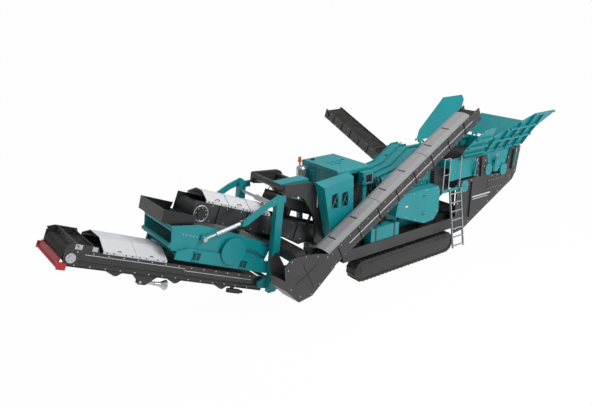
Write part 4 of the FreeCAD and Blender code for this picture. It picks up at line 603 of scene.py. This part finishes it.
rubber = Finish("belt_rubber", roughness=0.72)
dusted = rubber.place.grain(4.0, 4.0).between(0.45, 0.8)
weave = rubber.place.grain(180.0, 2.0)
rubber.set(
    Base_Color=(dusted * 0.1).over(tone(20, 20, 21), dust),
    Roughness=0.62 + dusted * 0.25,
)
rubber.bump(weave, 0.001, 0.4)
wear(["product_belt", "fines_belt", "return_belt", "bypass_belt", "transfer_belt", "magnet_belt"],
    rubber)

white_cover = Finish("white_moulding", roughness=0.4)
film = white_cover.place.grain(2.4, 4.0).between(0.5, 0.8)
white_cover.set(Base_Color=(film * 0.14).over(tone(214, 215, 219), dust), Roughness=0.38 + film * 0.25)
wear(["product_covers", "fines_covers"], white_cover)

grey_cover = Finish("grey_moulding", roughness=0.4)
haze = grey_cover.place.grain(2.4, 4.0).between(0.5, 0.8)
grey_cover.set(
    Base_Color=(haze * 0.12).over(tone(146, 146, 149), dust),
    Roughness=0.4 + haze * 0.2,
)
wear(["return_covers"], grey_cover)


def sloped(x, y, z, fall, swing=0.0):
    """Where a conveyor lies: its datum point in millimetres and its slope and swing in degrees."""
    return (Matrix.Translation(Vector((x, y, z)) * MM) @ Matrix.Rotation(math.radians(swing), 4, "Z")
            @ Matrix.Rotation(math.radians(fall), 4, "Y"))


def grab_handle():
    """A bent rod handle in the xz plane, standing out towards -y."""
    return pipe([(-60, 0, 0), (-60, -38, 8), (-30, -48, 34), (30, -48, 34), (60, -38, 8), (60, 0, 0)],
        9)


product = sloped(-6800, 0, 3050, 22.4)
product_face = 500
cover_step = 700
for side_name, side in near_far:
    face = product_face * side
    out = "y" if side > 0 else "-y"
    fitted(f"product_frame_bolts_{side_name}", [hex_bolts(
        [(x, face, z) for x in range(300, 6200, 450) for z in (-150,
            250)], out, 11)], zinc, "chassis", product)
    fitted(f"product_frame_ribs_{side_name}", [slab((x, x + 12), (face, face + 34 * side), (-190, 280),
        1)
           for x in range(500, 6300, 900)] + [slab((-200, 6200), (face, face + 40 * side),
               (-198, -188), 1)],
           charcoal, "chassis", product)
    motor = [bar((0, face, 0), (0, face + 40 * side, 0), 190, 28, 6),
             bar((0, face + 40 * side, 0), (0, face + 70 * side, 0), 120, 20, 5),
             slab((-60, 260), (face, face + 26 * side), (-120, 120), 6)]
    fitted(f"product_drive_{side_name}", motor, black_enamel, "chassis", product)
    ring = [(206 * math.cos(a / 8 * math.pi), face + 30 * side, 206 * math.sin(a / 8 * math.pi))
            for a in range(16)]
    fitted(f"product_drive_ring_{side_name}", [pipe(ring, 14, 2, True)], zinc, "chassis", product)
    circle = [(150 * math.cos(a * math.pi / 4), face + 40 * side, 150 * math.sin(a * math.pi / 4))
              for a in range(8)]
    fitted(f"product_drive_bolts_{side_name}", [hex_bolts(circle, out, 10)],
        zinc, "chassis", product)
handles, screws, seams = [], [], []
for number in range(3):
    left = 60 + cover_step * number
    handles.append((left + 345, -440, 400))
    screws += [(left + x, -product_face, 330) for x in (90, 210, 480, 600)]
    seams.append(sheet_metal([(-503, 298), (-503, 362), (-152, 533), (152, 533), (503, 362),
        (503, 298), (497, 298), (497, 358),
                              (150, 527), (-150, 527), (-497, 358), (-497,
                                  298)], "YZ", left - 8, left + 6, 0))
fitted("product_cover_handles", [repeated(grab_handle(), handles)], black_enamel, "chassis", product)
fitted("product_cover_screws", [hex_bolts(screws, "-y", 13)], black_enamel, "chassis", product)
fitted("product_cover_seams", seams, charcoal, "chassis", product)
fitted("product_scrapers", [slab((-196, -176), (-430, 430), (-270, -130), 3),
    bar((-190, -520, -250), (-190, 520, -250), 26)],
       charcoal, "chassis", product)
fitted("magnet_hangers", [pipe([(2520 + x, y, 900), (2540 + x, y, 1000), (2560 + x, y * 0.8, 1080)],
    14, 1)
       for x in (0, 1000) for y in (-430, 430)], zinc, "chassis", product)
fitted("magnet_ribs", [slab((2720 + x, 2734 + x), (-452, 452), (829, 848), 2)
    for x in (0, 220, 440, 640)], charcoal, "chassis", product)

# Screen: bolted teal side plates on coil springs, a wire mesh deck and hoses.
wear(["screen_rams"], zinc)
screen = sloped(-7750, 0, 2160, 22.8)
screen_face = 800
for side_name, side in near_far:
    face = screen_face * side
    out = "y" if side > 0 else "-y"
    fitted(f"screen_bolts_{side_name}", [hex_bolts(
        [(x, face, 640) for x in (60, 160, 260, 360, 460)] + [(x, face, 120)
            for x in range(200, 2800, 320)]
        + [(2300, face, 400), (2400, face, 330), (2500, face, 260),
            (2650, face, 330)], out, 12)], zinc, "chassis", screen)
    coils = []
    for x in (520, 640, 1980, 2100):
        coils.append(pipe([(x + 42 * math.cos(n * math.pi / 4),
            face + 55 * side + 42 * math.sin(n * math.pi / 4), 70 + n * 4.6)
                           for n in range(40)], 8, 1))
    fitted(f"screen_springs_{side_name}", coils, black_enamel, "chassis", screen)
    fitted(f"screen_spring_seats_{side_name}", [slab((x - 120, x + 120), (face, face + 105 * side), z,
        4)
           for x in (580, 2040) for z in ((44, 66), (256, 276))], teal, "chassis", screen)
    fitted(f"screen_hand_hoses_{side_name}", [pipe([(1350, face + 20 * side, 620),
        (1550, face + 60 * side, 660), (1850, face + 40 * side, 520),
           (2300, face + 55 * side, 560), (2700, face + 30 * side,
               420)], 13, 1)], hose_rubber, "chassis", screen)
wires = [bar((x, -760, 560), (x, 760, 560), 5, 6, 0) for x in range(120, 2800, 90)]
wires += [bar((60, y, 552), (2820, y, 552), 5, 6, 0) for y in range(-720, 721, 90)]
fitted("screen_mesh", wires, rotor_metal, "chassis", screen)

# The box between the arches: teal cover panels, bolted on.
fitted("arch_box_cover", [slab((-4424, -3476), (-646, -636), (3258, 3398), 4),
    slab((-4424, -3476), (-646, -244), (3396, 3404), 3)], teal)
fitted("arch_box_bolts", [hex_bolts([(x, -646, z) for x in (-4380, -4050, -3720, -3520)
    for z in (3290, 3370)], "-y", 10)], zinc)

# Fines conveyor: stripes, bolts, drum ends and a hose on each side of its
# frame, handles and screws on its covers, spray fittings, and a red scraper.
red_enamel = enamel("red_enamel", tone(178, 24, 30), tone(196, 34, 38), tone(120, 60, 55))
wear(["belt_scraper"], red_enamel)
violet = Finish("hose_coupling", roughness=0.35)
violet.set(Base_Color=(60 / 255, 52 / 255, 120 / 255, 1), Roughness=0.35)
fines = sloped(-10150, 0, 2800, 22.8)
fines_face = 750
for side_name, side in near_far:
    face = fines_face * side
    out = "y" if side > 0 else "-y"
    fitted(f"fines_stripe_{side_name}", [slab((300, 2900), (face, face + 2 * side), (112, 124), 0),
           slab((2900, 5000), (face, face + 2 * side), (60, 72), 0)], stripe, "fines_conveyor", fines)
    fitted(f"fines_bolts_{side_name}", [hex_bolts([(x, face, z) for x in range(120, 5300, 370)
        for z in (-150, 160)],
           out, 12)], zinc, "fines_conveyor", fines)
    fitted(f"fines_drum_end_{side_name}", [bar((0, face, 0), (0, face + 26 * side, 0), 118, 28, 5),
           bar((0, face + 26 * side, 0), (0, face + 40 * side, 0), 60, 20,
               4)], zinc, "fines_conveyor", fines)
    fitted(f"fines_lip_{side_name}", [slab((-140, 5400), (face, face + 36 * side), (-190, -180), 1)],
        charcoal, "fines_conveyor", fines)
    fitted(f"fines_hose_{side_name}", [pipe([(200, face + 18 * side, -60),
        (1400, face + 22 * side, -85), (2700, face + 20 * side, -60),
           (4000, face + 24 * side, -95), (5200, face + 18 * side,
               -70)], 11, 1)], hose_rubber, "fines_conveyor", fines)
fitted("fines_cover_handles", [repeated(grab_handle(), [(1100, -660, 262), (1930, -660, 262)])],
    black_enamel, "fines_conveyor", fines)
fitted("fines_cover_screws", [hex_bolts([(x, -fines_face, 232)
    for x in (790, 960, 1260, 1430, 1620, 1790, 2090, 2260)], "-y", 12)],
       black_enamel, "fines_conveyor", fines)
fitted("fines_spray_fittings", [bar((100, y, 250), (100, y, 232), 16, 6, 2)
    for y in range(-600, 601, 200)]
       + [bar((100, -745, 290), (100, -790, 290), 22, 6, 3)], violet, "fines_conveyor", fines)
fitted("fines_head_bracket", [slab((30, 200), (-762, -750), (215, 330), 3),
    slab((430, 560), (-762, -750), (215, 320), 3)],
       zinc, "fines_conveyor", fines)

# Return conveyor: straps over its covers, frame bolts, stiffeners, a light strip.
back = sloped(-4000, -1770, 1610, -26.3, 4.4)
fitted("return_bolts", [hex_bolts([(x, -290, z) for x in range(250, 7300, 380) for z in (-400, -40)],
    "-y", 10)],
       zinc, "return_conveyor", back)
strap = [(-274, -6), (-274, 8), (-132, 114), (132, 114), (274, 8), (274, -6),
         (270, -6), (270, 6), (130, 110), (-130, 110), (-270, 6), (-270, -6)]
fitted("return_straps", [sheet_metal(strap, "YZ", x, x + 40, 0)
       for x in (600, 1500, 2800, 3700, 5000, 5900)], black_enamel, "return_conveyor", back)
fitted("return_stiffeners", [slab((x, x + 10), (-318, -290), (-436, -6), 1)
    for x in range(500, 7300, 850)],
       charcoal, "return_conveyor", back)
fitted("return_light_strip", [slab((900, 6900), (-297, -290), (-232, -200), 1)], zinc,
    "return_conveyor", back)
fitted("tail_box_bolts", [hex_bolts([(-1180, -320, -300), (-1330, -320, 100), (-1160, -320, 640),
    (-960, -320, 760), (-520, -320, 560),
       (-200, -320, 280), (60, -320, 20), (60, -320, -380), (-500, -320, -480), (-860, -320,
           -540)], "-y", 13)],
       zinc, "return_conveyor", back)
fitted("tail_box_ribs", [slab((-1150, -300), (-334, -320), (88, 100), 2),
    slab((-700, -690), (-334, -320), (-460, 420), 2)],
       charcoal, "return_conveyor", back)

# Side conveyor: frame bolts, ribs and drum ends.
side_way = sloped(1450, 1450, 2850, -22, 90)
bypass_face = 350
for side_name, side in near_far:
    face = bypass_face * side
    out = "y" if side > 0 else "-y"
    fitted(f"bypass_bolts_{side_name}", [hex_bolts([(x, face, z) for x in range(300, 3000, 340)
        for z in (-130, 130)], out, 10)],
           zinc, "side_conveyor", side_way)
    fitted(f"bypass_drum_end_{side_name}", [bar((2900, face, 0), (2900, face + 30 * side, 0), 90, 24,
        4)], black_enamel,
           "side_conveyor", side_way)
    fitted(f"bypass_ribs_{side_name}", [slab((x, x + 10), (face, face + 26 * side), (-166, 166), 1)
        for x in range(500, 3000, 500)],
           charcoal, "side_conveyor", side_way)

# Service platform: tread strips, and the hand rails above the ladder.
fitted("platform_tread", [slab((x, x + 26), (-1278, -1206), (2220, 2226), 0)
    for x in range(1460, 2290, 60)], zinc)
fitted("hand_rails", [pipe([(x, -1292, 2262), (x, -1292, 3200), (x, -1292, 3290)], 17)
    for x in (1470, 1740, 2280)]
       + [pipe([(1470, -1292, 3290), (1740, -1292, 3290)], 17),
           pipe([(1470, -1292, 2760), (1740, -1292, 2760)], 13)], zinc)

# ---------------------------------------------------------------------------
# Floor, light and camera.
# ---------------------------------------------------------------------------

bpy.ops.object.select_all(action="DESELECT")
bpy.ops.mesh.primitive_plane_add(size=4000.0, location=(0, 0, 0))
floor = bpy.context.active_object
floor.name = "floor"
ground = Finish("pale_floor", roughness=0.9)
ground.set(Base_Color=tone(236, 236, 236))
output = ground.tree.nodes["Material Output"]
seen = ground.place.make("ShaderNodeLightPath", {}, {}, "Is Camera Ray")
shiny = ground.place.make("ShaderNodeLightPath", {}, {}, "Is Glossy Ray")
clear = ground.place.make("ShaderNodeLightPath", {}, {}, "Is Transmission Ray")
glow = ground.place.make("ShaderNodeEmission", {}, {"Color": (1, 1, 1, 1), "Strength": 1.0})
paper = Channel(ground.tree, ground.shader.outputs[0])
mixed = glow.make("ShaderNodeMixShader", {}, {0: seen.most(shiny).most(clear) * 0.98, 1: paper,
    2: glow})
ground.tree.links.new(mixed.socket, output.inputs["Surface"])
floor.data.materials.append(ground.material)

world = bpy.data.worlds.new("studio")
bpy.context.scene.world = world
world.use_nodes = True
sky = world.node_tree
backdrop = sky.nodes["Background"]
backdrop.inputs["Color"].default_value = (1, 1, 1, 1)
backdrop.inputs["Strength"].default_value = 0.4
path = Channel(sky, sky.nodes.new("ShaderNodeLightPath").outputs["Is Camera Ray"])
white = path.make("ShaderNodeBackground", {}, {"Color": (1, 1, 1, 1), "Strength": 1.0})
both = path.make("ShaderNodeMixShader", {}, {0: path, 1: Channel(sky, backdrop.outputs[0]), 2: white})
sky.links.new(both.socket, sky.nodes["World Output"].inputs["Surface"])


def lamp(name, place, target, size, power):
    data = bpy.data.lights.new(name, "AREA")
    data.size = size
    data.energy = power
    made = bpy.data.objects.new(name, data)
    bpy.context.scene.collection.objects.link(made)
    made.location = place
    made.rotation_euler = (Vector(target) - Vector(place)).to_track_quat("-Z", "Y").to_euler()


lamp("key_light", (6.0, -16.0, 15.0), (0, 0, 1.5), 9.0, 2700)
lamp("top_light", (0.0, 2.0, 18.0), (0, 0, 1.5), 12.0, 900)

eye = bpy.data.cameras.new("photo_camera")
eye.sensor_width = 36.0
eye.lens = 37.80
camera = bpy.data.objects.new("photo_camera", eye)
bpy.context.scene.collection.objects.link(camera)
camera.location = (-11.4461, -14.8165, 8.396)
camera.rotation_euler = (math.radians(90 - 19.036), 0, math.radians(53.502 - 90))
bpy.context.scene.camera = camera
bpy.context.scene.view_settings.view_transform = "Standard"
